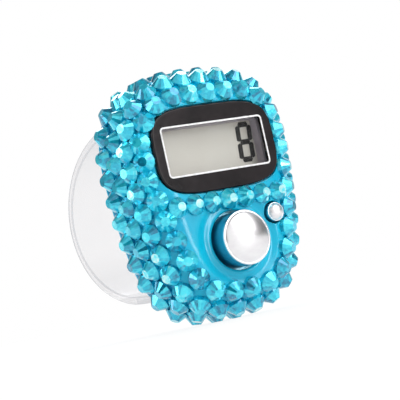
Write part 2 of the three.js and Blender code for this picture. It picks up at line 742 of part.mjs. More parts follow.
function caseScrew(place) {
  return screw(place, SCREW_RADIUS, SCREW_TIP_Y, SCREW_HEAD_SEAT_Y, SCREW_HEAD_RADIUS, SCREW_HEAD_HEIGHT);
}

// A button: a domed cap, a flange that stops it behind the wall, and a short stem
function countButton() {
  const flangeBackY = BUTTON_FLANGE_Y + COUNT_FLANGE_THICK;
  const profile = [
    ...domeProfile(COUNT_CAP_RADIUS, COUNT_RIM_Y, COUNT_RISE),
    [COUNT_CAP_RADIUS, BUTTON_FLANGE_Y],
    [COUNT_FLANGE_RADIUS, BUTTON_FLANGE_Y],
    [COUNT_FLANGE_RADIUS, flangeBackY],
    [COUNT_STEM_RADIUS, flangeBackY],
    [COUNT_STEM_RADIUS, flangeBackY + COUNT_STEM_LENGTH],
  ];
  return turned(COUNT_PLACE, profile, COUNT_STEPS);
}

function resetButton() {
  const flangeBackY = BUTTON_FLANGE_Y + RESET_FLANGE_THICK;
  const profile = [
    ...domeProfile(RESET_CAP_RADIUS, RESET_RIM_Y, RESET_RISE),
    [RESET_CAP_RADIUS, BUTTON_FLANGE_Y],
    [RESET_FLANGE_RADIUS, BUTTON_FLANGE_Y],
    [RESET_FLANGE_RADIUS, flangeBackY],
    [RESET_STEM_RADIUS, flangeBackY],
    [RESET_STEM_RADIUS, flangeBackY + RESET_STEM_LENGTH],
  ];
  return turned(RESET_PLACE, profile, RESET_STEPS);
}

// The silicone dome that springs a button back, open towards the board
function dome(place, size, height) {
  const topY = BOARD_FRONT_Y - height;
  const skirtY = BOARD_FRONT_Y - DOME_FLANGE_THICK;
  const profile = [
    [size.pole, topY + DOME_ROOF_THICK],
    [size.roof, topY + DOME_ROOF_THICK],
    [size.room, BOARD_FRONT_Y],
    [size.skirt, BOARD_FRONT_Y],
    [size.skirt, skirtY],
    [size.foot, skirtY - DOME_EDGE / 2],
    [size.shoulder, topY + DOME_EDGE],
    [size.top, topY],
    [size.pole, topY],
  ];
  return turned(place, profile, DOME_STEPS);
}

function cellHolder() {
  const topY = BOARD_BACK_Y + HOLDER_HEIGHT;
  const outside = rod(CELL_PLACE, HOLDER_OUTER_RADIUS, BOARD_BACK_Y, topY, CELL_STEPS);
  const inside = rod(CELL_PLACE, HOLDER_INNER_RADIUS, BOARD_BACK_Y - OVERRUN, topY + OVERRUN, CELL_STEPS);
  return outside.subtract(inside);
}

const CELL_FRONT_Y = BOARD_BACK_Y + STRAP_THICK;
const CELL_BACK_Y = CELL_FRONT_Y + CELL_THICK;

function cell() {
  const profile = [
    [CELL_RADIUS - CELL_EDGE, CELL_FRONT_Y],
    [CELL_RADIUS, CELL_FRONT_Y + CELL_EDGE],
    [CELL_RADIUS, CELL_BACK_Y - CELL_EDGE],
    [CELL_RADIUS - CELL_EDGE, CELL_BACK_Y],
  ];
  return turned(CELL_PLACE, profile, CELL_STEPS);
}

// A strap across the cell at its own height, given its ends and its depths
function strap(lowX, highX, frontY, backY) {
  return box(lowX, highX, frontY, backY, CELL_Z - STRAP_HALF_Z, CELL_Z + STRAP_HALF_Z);
}

function backContact() {
  const backY = CELL_BACK_Y + STRAP_THICK;
  const armX = STRAP_ARM_X - STRAP_THICK;
  const over = strap(STRAP_TIP_X, STRAP_ARM_X, CELL_BACK_Y, backY);
  const arm = strap(armX, STRAP_ARM_X, BOARD_BACK_Y, backY);
  const foot = strap(armX, STRAP_FOOT_X, BOARD_BACK_Y, CELL_FRONT_Y);
  return Manifold.union([over, arm, foot]);
}

function frontContact() {
  return strap(-FRONT_STRAP_HALF_X, FRONT_STRAP_HALF_X, BOARD_BACK_Y, CELL_FRONT_Y);
}

// Lowest and highest z of each end of the band
const BAND_LEGS = [
  [BAND_MIDDLE_Z + BAND_TALL - BAND_THICK, BAND_MIDDLE_Z + BAND_TALL],
  [BAND_MIDDLE_Z - BAND_TALL, BAND_MIDDLE_Z - BAND_TALL + BAND_THICK],
];

// A block over each end of the band, grown by a reach above and below
function legBlocks(halfX, frontY, backY, reach) {
  return BAND_LEGS.map(([lowZ, highZ]) => box(-halfX, halfX, frontY, backY, lowZ - reach, highZ + reach));
}

// The cover's plate, its back edge rounded over a quarter circle
function coverPlate() {
  const rings = [outlineRing(COVER_INSET, SEAM_Y)];
  for (let k = 0; k <= COVER_ROUND_STEPS; k += 1) {
    const angle = ((k / COVER_ROUND_STEPS) * Math.PI) / 2;
    const inset = COVER_INSET + COVER_ROUND * (1 - Math.cos(angle));
    rings.push(outlineRing(inset, COVER_BACK_Y - COVER_ROUND * (1 - Math.sin(angle))));
  }
  return skin(rings);
}

// The lip that locates the cover inside the housing, open where bosses and the
// band's heads pass
function coverLip() {
  const frontY = COVER_LIP_FRONT_Y - OVERRUN;
  const ring = (inset, y) => skin([outlineRing(inset, y), outlineRing(inset, SEAM_Y)]);
  const outside = ring(COVER_LIP_OUTER, COVER_LIP_FRONT_Y);
  const inside = ring(COVER_LIP_INNER, frontY);
  const bossRoom = SCREW_PLACES.map((place) => rod(place, BOSS_CLEARANCE, frontY, SEAM_Y, SCREW_STEPS));
  const headRoom = legBlocks(BAND_SLOT_HALF_WIDTH, frontY, SEAM_Y, BAND_HEAD_REACH + BAND_SLOT_GAP);
  return outside.subtract(Manifold.union([inside, ...bossRoom, ...headRoom]));
}

// The raised pad that the finger rests on
function fingerPad() {
  const halfZ = BAND_TALL * FINGER_PAD_SHARE;
  return roundedBox(
    FINGER_PAD_HALF_X,
    BAND_MIDDLE_Z - halfZ,
    BAND_MIDDLE_Z + halfZ,
    FINGER_PAD_CORNER,
    SEAM_Y,
    COVER_BACK_Y + FINGER_PAD_RISE,
  );
}

function backCover() {
  const frontY = SEAM_Y - OVERRUN;
  const backY = COVER_BACK_Y + OVERRUN;
  const cuts = SCREW_PLACES.flatMap((place) => [
    rod(place, SCREW_HOLE_RADIUS, frontY, backY, SCREW_STEPS),
    rod(place, SCREW_RECESS_RADIUS, SCREW_HEAD_SEAT_Y, backY, SCREW_STEPS),
  ]);
  const slots = legBlocks(BAND_SLOT_HALF_WIDTH, frontY, backY, BAND_SLOT_GAP);
  return coverPlate().add(coverLip()).add(fingerPad()).subtract(Manifold.union([...cuts, ...slots]));
}

// Half-width of the band at a depth: a narrow neck that widens past the cover
function bandHalfWidth(y) {
  const share = ramp(y, BAND_NECK_START_Y, BAND_NECK_END_Y);
  const eased = share * share * (3 - 2 * share);
  return BAND_NECK_HALF_WIDTH + (BAND_HALF_WIDTH - BAND_NECK_HALF_WIDTH) * eased;
}

// The band's path: from inside the case, round the finger and back
function bandPath() {
  const path = [];
  const straight = [SEAM_Y - OVERRUN / 2, BAND_NECK_START_Y, (BAND_NECK_START_Y + BAND_START_Y) / 2];
  straight.forEach((y) => path.push({ y, z: BAND_TALL, outY: 0, outZ: 1 }));
  for (let i = 0; i <= BAND_STEPS; i += 1) {
    const angle = Math.PI / 2 - (i / BAND_STEPS) * Math.PI;
    const outY = Math.cos(angle) / BAND_DEEP;
    const outZ = Math.sin(angle) / BAND_TALL;
    const size = Math.hypot(outY, outZ);
    path.push({
      y: BAND_START_Y + BAND_DEEP * Math.cos(angle),
      z: BAND_TALL * Math.sin(angle),
      outY: outY / size,
      outZ: outZ / size,
    });
  }
  straight.reverse().forEach((y) => path.push({ y, z: -BAND_TALL, outY: 0, outZ: -1 }));
  return path;
}

// The strip with its long edges eased, and a head at each end behind the cover
function fingerBand() {
  const edge = BAND_THICK * BAND_EDGE_SHARE;
  const rings = bandPath().map(({ y, z, outY, outZ }) => {
    const half = bandHalfWidth(y);
    const section = [
      [-half + edge, 0],
      [half - edge, 0],
      [half, edge],
      [half, BAND_THICK - edge],
      [half - edge, BAND_THICK],
      [-half + edge, BAND_THICK],
      [-half, BAND_THICK - edge],
      [-half, edge],
    ];
    return section.map(([x, inward]) => [x, y - outY * inward, BAND_MIDDLE_Z + z - outZ * inward]);
  });
  const heads = legBlocks(BAND_HEAD_HALF_WIDTH, BAND_HEAD_FRONT_Y, SEAM_Y, BAND_HEAD_REACH);
  return Manifold.union([skin(rings), ...heads]);
}

// Finishes, as colour, metalness and roughness
const SHELL = [0x1cb8de, 0.0, 0.3];
const PANEL = [0x2a2526, 0.0, 0.2];
const CLEAR = [0xf2f6f6, 0.0, 0.05];
const DARK_PLASTIC = [0x3a3436, 0.0, 0.5];
const DISPLAY_GLASS = [0xc8c5ba, 0.0, 0.2];
const FOIL = [0xb9b9b0, 0.8, 0.4];
const FOAM = [0x303030, 0.0, 0.9];
const STRIP_RUBBER = [0xd8a0a8, 0.0, 0.7];
const BOARD = [0x2f6b3c, 0.0, 0.5];
const RESIN = [0x161616, 0.0, 0.35];
const CERAMIC = [0xa08058, 0.0, 0.5];
const SILICONE = [0xe4e4e0, 0.0, 0.7];
const CHROME = [0xf0f0f0, 1.0, 0.12];
const IVORY_PLASTIC = [0xf0ead8, 0.0, 0.6];
const STEEL = [0xb8b8b8, 1.0, 0.3];
const GILT = [0xd9c27a, 1.0, 0.35];

const PIECES = [
  ["front_housing", frontHousing(), SHELL],
  ["back_cover", backCover(), SHELL],
  ["display_bezel", bezel(), PANEL],
  ["window_lens", bezelPrism(0, BEZEL_THICK, BEZEL_THICK + LENS_THICK), CLEAR],
  ["lcd_frame", displayFrame(), DARK_PLASTIC],
  ["lcd_front_glass", frontGlass(), DISPLAY_GLASS],
  ["lcd_rear_glass", displayLayer(0, REAR_GLASS_Y, REFLECTOR_Y), DISPLAY_GLASS],
  ["lcd_reflector", displayLayer(REFLECTOR_INSET, REFLECTOR_Y, CUSHION_Y), FOIL],
  ["lcd_cushion", displayLayer(CUSHION_INSET, CUSHION_Y, BOARD_FRONT_Y), FOAM],
  ["contact_strip", contactStrip(), STRIP_RUBBER],
  ["circuit_board", boardPlate(), BOARD],
  ["covered_chip", coveredChip(), RESIN],
  ["capacitor", onBoard(1, CAPACITOR_HEIGHT), CERAMIC],
  ["resistor", onBoard(-1, RESISTOR_HEIGHT), RESIN],
  ["count_dome", dome(COUNT_PLACE, COUNT_DOME_RADII, COUNT_DOME_HEIGHT), SILICONE],
  ["reset_dome", dome(RESET_PLACE, RESET_DOME_RADII, RESET_DOME_HEIGHT), SILICONE],
  ["count_button", countButton(), CHROME],
  ["reset_button", resetButton(), CHROME],
  ["cell_holder", cellHolder(), IVORY_PLASTIC],
  ["button_cell", cell(), STEEL],
  ["back_contact", backContact(), GILT],
  ["front_contact", frontContact(), GILT],
  ["finger_band", fingerBand(), CLEAR],
  ...POST_PLACES.map((place, i) => [`board_screw_${i + 1}`, boardScrew(place), STEEL]),
  ...SCREW_PLACES.map((place, i) => [`case_screw_${i + 1}`, caseScrew(place), STEEL]),
];

// Places a finished solid as a named mesh, with zero at the middle of the finger loop
function pieceMesh([name, made, [color, metalness, roughness]]) {
  const { vertProperties, triVerts } = made.getMesh();
  const geometry = new THREE.BufferGeometry();
  geometry.setAttribute("position", new THREE.Float32BufferAttribute(vertProperties, 3));
  geometry.setIndex(Array.from(triVerts));
  geometry.translate(0, -LOOP_Y, -LOOP_Z);
  const mesh = new THREE.Mesh(geometry, new THREE.MeshStandardMaterial({ color, metalness, roughness }));
  mesh.name = name;
  return mesh;
}

const group = new THREE.Group();
group.name = "finger_tally_counter";
PIECES.forEach((piece) => group.add(pieceMesh(piece)));

export default group;
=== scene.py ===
# %% [markdown]
# # A finger tally counter
# The real object is a small counter worn on a finger. Its case is glossy blue
# plastic set all round with faceted stones. It carries a black panel with a
# display, a large and a small chrome button, and a clear band for the finger.
# The CAD model gives every piece its place. This file makes the finer forms and
# the finishes, one step at a time.

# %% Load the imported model
import math
import random

import bmesh
import bpy
from mathutils import Matrix, Vector


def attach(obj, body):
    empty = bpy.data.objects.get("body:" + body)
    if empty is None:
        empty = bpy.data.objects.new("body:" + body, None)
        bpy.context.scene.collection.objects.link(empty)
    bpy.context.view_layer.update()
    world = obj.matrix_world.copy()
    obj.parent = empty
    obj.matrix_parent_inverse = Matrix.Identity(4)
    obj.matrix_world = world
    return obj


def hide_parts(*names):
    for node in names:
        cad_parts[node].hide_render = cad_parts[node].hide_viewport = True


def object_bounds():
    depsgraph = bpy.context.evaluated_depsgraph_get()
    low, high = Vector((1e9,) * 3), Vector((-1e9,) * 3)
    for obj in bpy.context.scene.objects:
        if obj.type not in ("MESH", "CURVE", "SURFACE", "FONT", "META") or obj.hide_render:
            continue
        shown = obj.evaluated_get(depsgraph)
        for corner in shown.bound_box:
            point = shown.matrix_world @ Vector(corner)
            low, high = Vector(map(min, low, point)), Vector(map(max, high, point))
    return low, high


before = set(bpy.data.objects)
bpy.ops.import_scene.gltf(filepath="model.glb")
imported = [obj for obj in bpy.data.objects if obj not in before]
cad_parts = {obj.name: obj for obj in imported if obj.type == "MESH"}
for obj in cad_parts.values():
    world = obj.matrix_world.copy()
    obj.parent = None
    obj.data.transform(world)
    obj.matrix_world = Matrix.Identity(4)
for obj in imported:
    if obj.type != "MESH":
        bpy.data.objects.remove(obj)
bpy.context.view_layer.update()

# %% [markdown]
# ## Measures
# The CAD model was drawn from the middle of the display window: X to the right,
# Y into the case, Z up, in millimetres. Blender works in metres from the middle
# of the finger loop. One small function turns the first into the second, so that
# every size below can be read as a size on the real object.

# %% Millimetres on the front face to metres in the frame
MM = 0.001
WINDOW_MIDDLE = Vector((0.0, -24.7, 6.7995)) * MM


def at(x, y, z):
    """A point given in millimetres from the window's middle, in the frame's metres."""
    return WINDOW_MIDDLE + Vector((x, y, z)) * MM


def from_window(point):
    """The other way round: a point of the frame as millimetres from the window."""
    return (Vector(point) - WINDOW_MIDDLE) / MM


print("window's middle, m:", tuple(round(v, 5) for v in at(0, 0, 0)))

# %% [markdown]
# ## The camera
# The photograph looks at the counter from its left and a little from below, with
# the counter leaning over by about twelve degrees. A long lens from about 22 cm
# gives the same lines, found by matching the corners of the window, the edge of
# the panel and the outline of the case.

# %% Camera
CAMERA_PLACE = (-0.1218812, -0.2064266, -0.0165101)
CAMERA_ANGLES = (94.1699, 12.3802, -31.8271)
CAMERA_LENS = 126.79

camera_data = bpy.data.cameras.new("camera")
camera_data.lens = CAMERA_LENS
camera_data.sensor_width = 36.0
camera_data.clip_start = 0.01
camera_data.clip_end = 10.0
camera = bpy.data.objects.new("camera", camera_data)
camera.location = CAMERA_PLACE
camera.rotation_euler = [math.radians(angle) for angle in CAMERA_ANGLES]
bpy.context.scene.collection.objects.link(camera)
bpy.context.scene.camera = camera
print("camera to window, mm:", round((camera.location - at(0, 0, 0)).length / MM, 1))

# %% [markdown]
# ## Helpers for modelling
# A piece starts as a primitive and is shaped in edit mode. Operators act on
# whatever is selected, so each step first deselects all and then selects faces,
# edges or vertices by where they lie, in millimetres from the window.

# %% Clear, start and select
NEAR = 1e-3


def clear():
    """Leaves edit mode and deselects everything."""
    if bpy.context.object and bpy.context.object.mode == "EDIT":
        bpy.ops.object.mode_set(mode="OBJECT")
    bpy.ops.object.select_all(action="DESELECT")


def start(name):
    """Names the primitive just added, settles its place and opens it for editing."""
    piece = bpy.context.object
    piece.name = piece.data.name = name
    bpy.ops.object.transform_apply(location=True, rotation=True, scale=True)
    bpy.ops.object.mode_set(mode="EDIT")
    return piece


def select_all():
    """Selects the whole of the open mesh."""
    bpy.ops.mesh.select_mode(type="VERT")
    bpy.ops.mesh.select_all(action="SELECT")


def pick(kind, wanted):
    """Selects the vertices, edges or faces whose middle a test of x, y, z wants."""
    bpy.ops.mesh.select_mode(type=kind)
    bpy.ops.mesh.select_all(action="DESELECT")
    mesh = bmesh.from_edit_mesh(bpy.context.object.data)
    for thing in {"VERT": mesh.verts, "EDGE": mesh.edges, "FACE": mesh.faces}[kind]:
        corners = [thing] if kind == "VERT" else thing.verts
        middle = sum((corner.co for corner in corners), Vector()) / len(corners)
        if wanted(*from_window(middle)):
            thing.select_set(True)
    mesh.select_flush_mode()
    bmesh.update_edit_mesh(bpy.context.object.data)


# %% Shape what is selected
def extrude(x, y, z):
    """Extrudes what is selected by millimetres along the axes."""
    bpy.ops.mesh.extrude_region_move(TRANSFORM_OT_translate={"value": Vector((x, y, z)) * MM})


def round_edges(depth, width, steps):
    """Rounds the edges whose middles lie at a depth behind the flat front."""
    pick("EDGE", lambda x, y, z: abs(y - depth) < NEAR)
    bpy.ops.mesh.bevel(offset=width * MM, segments=steps, profile=0.5, clamp_overlap=False)


def outward():
    """Merges doubles and points every face of the open mesh outwards."""
    select_all()
    bpy.ops.mesh.remove_doubles(threshold=1e-7)
    bpy.ops.mesh.normals_make_consistent(inside=False)


# %% [markdown]
# Modifiers are applied at once, so that every piece is a plain mesh. A cut can
# leave points that almost touch, so they are welded after it. A finished piece
# is given to a body and to the CAD nodes that it stands for.

# %% Modify, combine, join and finish
WELD_GAP = 0.004


def activate(piece):
    """Makes a piece the only one selected, and the active one."""
    clear()
    piece.select_set(True)
    bpy.context.view_layer.objects.active = piece


def apply_modifier(piece, kind, **settings):
    """Adds a modifier, gives it its settings and applies it."""
    activate(piece)
    modifier = piece.modifiers.new(kind.lower(), kind)
    for name, value in settings.items():
        setattr(modifier, name, value)
    bpy.ops.object.modifier_apply(modifier=modifier.name)


def combine(piece, *others, way="DIFFERENCE"):
    """Cuts the other solids out of a piece, or joins them on, and removes them."""
    for other in others:
        apply_modifier(piece, "BOOLEAN", operation=way, object=other, solver="EXACT")
        bpy.data.objects.remove(other, do_unlink=True)
    activate(piece)
    bpy.ops.object.mode_set(mode="EDIT")
    select_all()
    bpy.ops.mesh.remove_doubles(threshold=WELD_GAP * MM)
    clear()


def join(name, parts):
    """Joins copies into one piece."""
    activate(parts[0])
    for part in parts:
        part.select_set(True)
    bpy.ops.object.join()
    joined = bpy.context.object
    joined.name = joined.data.name = name
    return joined


def finished(piece, body, slot, *nodes, smooth=None, weighted=False):
    """Shades a piece and gives it its body and its CAD nodes. Its slot is not used."""
    activate(piece)
    if smooth:
        bpy.ops.object.shade_smooth_by_angle(angle=math.radians(smooth))
    if weighted:
        apply_modifier(piece, "WEIGHTED_NORMAL", keep_sharp=True)
    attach(piece, body)
    if nodes:
        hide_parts(*nodes)
    triangles = sum(len(face.vertices) - 2 for face in piece.data.polygons)
    print(f"{piece.name}: {triangles} triangles on {body}")
    return piece


# %% [markdown]
# ## Turned shapes
# Buttons, screws, dishes and posts are turned shapes. On a lathe they would be
# cut to a profile; here one vertex is extruded along that profile and the line
# is spun round the piece's own axis, which points into the case. A cylinder with
# bevels would do for a post, but not for a domed cap.

# %% Turned shapes
def turned(name, place, profile, steps):
    """Spins a profile of (radius, y) points round an axis along Y."""
    x, z = place
    clear()
    bpy.ops.mesh.primitive_plane_add(size=MM, location=at(x + profile[0][0], profile[0][1], z))
    piece = start(name)
    select_all()
    bpy.ops.mesh.merge(type="CENTER")
    for (radius, y), (next_radius, next_y) in zip(profile, profile[1:]):
        extrude(next_radius - radius, next_y - y, 0)
    select_all()
    bpy.ops.mesh.spin(steps=steps, angle=math.tau, center=at(x, 0, z), axis=(0, 1, 0))
    outward()
    clear()
    return piece


def turned_at(places, name, profile, steps):
    """The same turned shape at each place."""
    return [turned(name, place, profile, steps) for place in places]


def rod(radius, front, back):
    """The profile of a plain cylinder."""
    return [(0, front), (radius, front), (radius, back), (0, back)]


def arc(middle, radius, first, last, steps):
    """Points on an arc, from one angle to another in degrees, as (radius, y)."""
    turns = [math.radians(first + (last - first) * step / steps) for step in range(steps + 1)]
    return [(middle[0] + radius * math.cos(t), middle[1] + radius * math.sin(t)) for t in turns]


# %% [markdown]
# ## The case's outline
# Seen from the front the case is an oval with full corners, a little wider at the
# top. A superellipse draws it: the power says how square the corners are. The
# points are spaced evenly, so that the stones can be counted along it.

# %% Outline of the case
CASE_HALF_WIDTH = 13.7
CASE_HALF_HEIGHT = 18.6
CASE_MIDDLE_Z = -6.6495
CASE_TAPER = 0.125
CASE_TOP_POWER = 3.05
CASE_BOTTOM_POWER = 3.15
OUTLINE_STEPS = 1440


def bend(value, power):
    """Swells a sine or cosine for a superellipse, keeping its sign."""
    return math.copysign(abs(value) ** (2 / power), value)


def spaced(line, count, phase=0.0):
    """Points at equal steps along a closed line, started part of a step along."""
    lengths = [0.0]
    for index, point in enumerate(line):
        lengths.append(lengths[-1] + math.dist(point[:3], line[(index + 1) % len(line)][:3]))
    points = []
    step = 0
    for index in range(count):
        wanted = (index + phase) / count * lengths[-1]
        while lengths[step + 1] < wanted:
            step += 1
        share = (wanted - lengths[step]) / (lengths[step + 1] - lengths[step])
        after = line[(step + 1) % len(line)]
        points.append([a + share * (b - a) for a, b in zip(line[step], after)])
    return points


def case_outline(steps):
    """Even points on the outline, as x, z and the outward direction's x and z."""
    raw = []
    for index in range(OUTLINE_STEPS):
        angle = math.tau * index / OUTLINE_STEPS
        power = CASE_TOP_POWER if math.sin(angle) > 0 else CASE_BOTTOM_POWER
        up = bend(math.sin(angle), power)
        across = bend(math.cos(angle), power) * (1 + CASE_TAPER * up)
        raw.append((across * CASE_HALF_WIDTH, up * CASE_HALF_HEIGHT + CASE_MIDDLE_Z))
    points = spaced(raw, steps)
    outline = []
    for index, (x, z) in enumerate(points):
        after, before = points[(index + 1) % steps], points[index - 1]
        run = math.dist(after, before)
        outline.append((x, z, (after[1] - before[1]) / run, -(after[0] - before[0]) / run))
    return outline


def half_width_at(z):
    """Half-width of the case at a height."""
    return max(x for x, level, _, _ in case_outline(OUTLINE_STEPS) if abs(level - z) < 0.1)


print("outline's widest half, mm:", round(max(point[0] for point in case_outline(720)), 2))

# %% [markdown]
# ## Blocks with an outline
# The shell, its hollow and the back cover all share the outline, a little inset.
# A circle gives the ring of points, they move out to the outline, the face is
# extruded into a block, and the bevel operator rounds one of its edges. A scaled
# cube with bevels has no such full corners.

# %% Blocks from a ring of points
CASE_STEPS = 168


def ring_block(name, places, front, back, rounded=0.0, steps=8, round_back=False):
    """Extrudes a ring of (x, z) places from front to back and rounds one edge."""
    clear()
    bpy.ops.mesh.primitive_circle_add(
        vertices=len(places), radius=MM, fill_type="NGON",
        location=at(0, front, 0), rotation=(math.pi / 2, 0, 0),
    )
    piece = start(name)
    ring = bmesh.from_edit_mesh(piece.data)
    for vertex, (x, z) in zip(ring.verts, places):
        vertex.co = at(x, front, z)
    bmesh.update_edit_mesh(piece.data)
    select_all()
    extrude(0, back - front, 0)
    outward()
    if rounded:
        round_edges(back if round_back else front, rounded, steps)
    clear()
    return piece


def case_block(name, inset, front, back, **settings):
    """A block with the case's outline, drawn in by an inset."""
    places = [(x - nx * inset, z - nz * inset) for x, z, nx, nz in case_outline(CASE_STEPS)]
    return ring_block(name, places, front, back, **settings)


# %% [markdown]
# The black panel's outline is a rounded oblong with slightly bowed sides, also a
# superellipse. The window is a plain rectangle with small round corners, so a
# cube with bevelled edges is enough for it.

# %% Outline of the panel, and boxes
PANEL_HALF_X = 11.25
PANEL_HALF_Z = 6.845
PANEL_POWER = 3.8
PANEL_STEPS = 144


def panel_places(margin):
    """The panel's outline, grown by a margin."""
    turns = [math.tau * index / PANEL_STEPS for index in range(PANEL_STEPS)]
    return [
        (bend(math.cos(turn), PANEL_POWER) * (PANEL_HALF_X + margin),
         bend(math.sin(turn), PANEL_POWER) * (PANEL_HALF_Z + margin))
        for turn in turns
    ]


def rounded_box(name, place, half_x, half_z, front, back, corner, steps=6, back_edge=0.0):
    """A box round a place (x, z), with round edges along Y and an eased back rim."""
    clear()
    x, z = place
    middle_y = (front + back) / 2
    bpy.ops.mesh.primitive_cube_add(
        size=1, location=at(x, middle_y, z),
        scale=(2 * half_x * MM, (back - front) * MM, 2 * half_z * MM),
    )
    piece = start(name)
    round_edges(middle_y, corner, steps)
    if back_edge:
        round_edges(back, back_edge, 3)
    clear()
    return piece


print("panel:", 2 * PANEL_HALF_X, "x", 2 * PANEL_HALF_Z, "mm")

# %% [markdown]
# ## The shell
# The real shell is one moulding of blue plastic. Its front is flat, then rolls
# over into straight sides. The hollow is cut out first. Then come the posts that
# carry the circuit board and the bosses that take the cover's screws. They could
# be extruded from the inner face; turned and joined on, they stay truly round.

# %% Shell, hollow, posts and bosses
SEAM_Y = 12.0
CASE_FILLET = 5.0
CASE_WALL = 1.6
FRONT_WALL = 2.4
HOLLOW_FILLET = 2.4
BEYOND = 1.0
BOARD_Y = 5.6
POST_PLACES = [(-6.6993, -19.1301), (6.6993, -19.1301), (0.0, 8.0073)]
POST_RADIUS = 1.4
POST_START_Y = 1.0
POST_EASE = 0.15
SCREW_HEIGHTS = (1.3485, -14.6475)
SCREW_INSET = 3.3
SCREW_PLACES = [
    (side * (half_width_at(height) - SCREW_INSET), height)
    for height in SCREW_HEIGHTS
    for side in (-1, 1)
]
BOSS_RADIUS = 1.9
BOSS_START_Y = 7.2

shell = case_block("shell", 0, 0, SEAM_Y, rounded=CASE_FILLET, steps=12)
hollow = case_block("hollow", CASE_WALL, FRONT_WALL, SEAM_Y + BEYOND,
                    rounded=HOLLOW_FILLET, steps=5)
combine(shell, hollow)
post = [(0, POST_START_Y), (POST_RADIUS, POST_START_Y), (POST_RADIUS, BOARD_Y - POST_EASE),
        (POST_RADIUS - POST_EASE, BOARD_Y), (0, BOARD_Y)]
posts = turned_at(POST_PLACES, "post", post, 24)
bosses = turned_at(SCREW_PLACES, "boss", rod(BOSS_RADIUS, BOSS_START_Y, SEAM_Y), 28)
combine(shell, *posts, *bosses, way="UNION")
print("shell so far:", len(shell.data.polygons), "faces")

# %% [markdown]
# ## Openings in the front
# The panel sits in a shallow pocket whose edge catches the light as a thin line,
# so the cutter flares at the front. The count button sits in a soft dish with a
# low lip round its hole. The dish could be sculpted, but one turned cutter makes
# the dish, the lip and the hole and keeps them round.

# %% Profiles of the dish and the holes
DISH_RADIUS = 7.8
DISH_DEPTH = 0.45
DISH_WALL = 1.9
DISH_STEPS = 20
LIP_RADIUS = 5.2
LIP_REACH = 1.2
LIP_RISE = 0.16


def dish_depth(radius):
    """Depth of the dish, less the soft lip that rises round the hole."""
    down_the_wall = min(1.0, (DISH_RADIUS - radius) / DISH_WALL)
    from_lip = min(1.0, abs(radius - LIP_RADIUS) / LIP_REACH)
    wall = DISH_DEPTH * math.sin(math.pi / 2 * down_the_wall) ** 2
    return wall - LIP_RISE * math.cos(math.pi / 2 * from_lip) ** 2


def hole_profile(hole, rim_y, ease):
    """The eased rim of a hole and its wall, from the surface into the case."""
    rim = arc((hole + ease, rim_y + ease), ease, -90, -180, 6)[1:]
    return [*rim, (hole, FRONT_WALL + BEYOND), (0, FRONT_WALL + BEYOND)]


def dish_profile(hole, ease):
    """From the front down the dish's wall, over the lip and into the hole."""
    reach = hole + ease - DISH_RADIUS
    radii = [DISH_RADIUS + reach * step / DISH_STEPS for step in range(DISH_STEPS + 1)]
    slope = [(radius, dish_depth(radius)) for radius in radii]
    return [(0, -BEYOND), (DISH_RADIUS, -BEYOND), *slope, *hole_profile(hole, slope[-1][1], ease)]


print("depth of the dish at its lip, mm:", round(dish_depth(LIP_RADIUS), 2))

# %% Cut the pocket, the opening, the dish, the holes and the pilots
POCKET_GAP = 0.2
POCKET_EASE = 0.16
POCKET_DEPTH = 1.2
WINDOW_HALF_X = 9.3
WINDOW_HALF_Z = 3.745
WINDOW_CORNER = 0.4
OPENING_MARGIN = 0.85
OPENING_CORNER = 0.6
COUNT_PLACE = (0.3973, -15.0009)
COUNT_HOLE = 4.7
COUNT_EASE = 0.5
RESET_PLACE = (8.0501, -11.8017)
RESET_HOLE = 1.8
RESET_EASE = 0.22
POST_PILOT = rod(0.8, 2.9, 6.6)
BOSS_PILOT = rod(1.05, 8.2, 13)

pocket = ring_block("pocket", panel_places(POCKET_GAP), -BEYOND, POCKET_DEPTH)
flare = ring_block("flare", panel_places(POCKET_GAP + POCKET_EASE), -BEYOND, POCKET_EASE,
                   rounded=POCKET_EASE, steps=3, round_back=True)
opening = rounded_box("opening", (0, 0), WINDOW_HALF_X + OPENING_MARGIN,
                      WINDOW_HALF_Z + OPENING_MARGIN, 0.5, 3.4, OPENING_CORNER)
dish = turned("dish", COUNT_PLACE, dish_profile(COUNT_HOLE, COUNT_EASE), 96)
reset_rim = RESET_HOLE + RESET_EASE
reset_profile = [(0, -BEYOND), (reset_rim, -BEYOND), (reset_rim, 0),
                 *hole_profile(RESET_HOLE, 0, RESET_EASE)]
reset_hole = turned("reset_hole", RESET_PLACE, reset_profile, 48)
pilots = [*turned_at(POST_PLACES, "pilot", POST_PILOT, 16),
          *turned_at(SCREW_PLACES, "pilot", BOSS_PILOT, 16)]
combine(shell, pocket, flare, opening, dish, reset_hole, *pilots)
finished(shell, "case", "blue_shell", "front_housing", smooth=32, weighted=True)

# %% [markdown]
# ## Where the stones sit
# The stones are set in rows that run round the case. Each row keeps its arc away
# from the flat front: less over the top and along the bottom than at the sides.
# The case's surface, its fillet and its outline give each seat and its direction.
# Scattering them over the mesh would be quicker, but real stones stand in rows.

# %% Arcs of the rows and points of the surface
STONE_RADIUS = 1.62
ROW_STARTS = {"bottom": 2.44, "side": 3.45, "top": 1.75}
ROW_TWO = {"bottom": 3.4, "side": 2.85, "top": 3.0}
ROW_THREE = {"bottom": 6.8, "side": 6.1, "top": 6.0}
ROW_TOP_RAMP = (0.465, 0.922)
ROW_BOTTOM_RAMP = (0.073, 0.503)
SEAM_MARGIN = 0.35
FILLET_ARC = CASE_FILLET * math.pi / 2
LAST_ARC = FILLET_ARC + SEAM_Y - CASE_FILLET - STONE_RADIUS - SEAM_MARGIN


def ramp(value, low, high):
    """Nought at low, one at high, and even between them."""
    return min(1.0, max(0.0, (value - low) / (high - low)))


def up_share(z):
    """A height as a share of the case's half height."""
    return (z - CASE_MIDDLE_Z) / CASE_HALF_HEIGHT


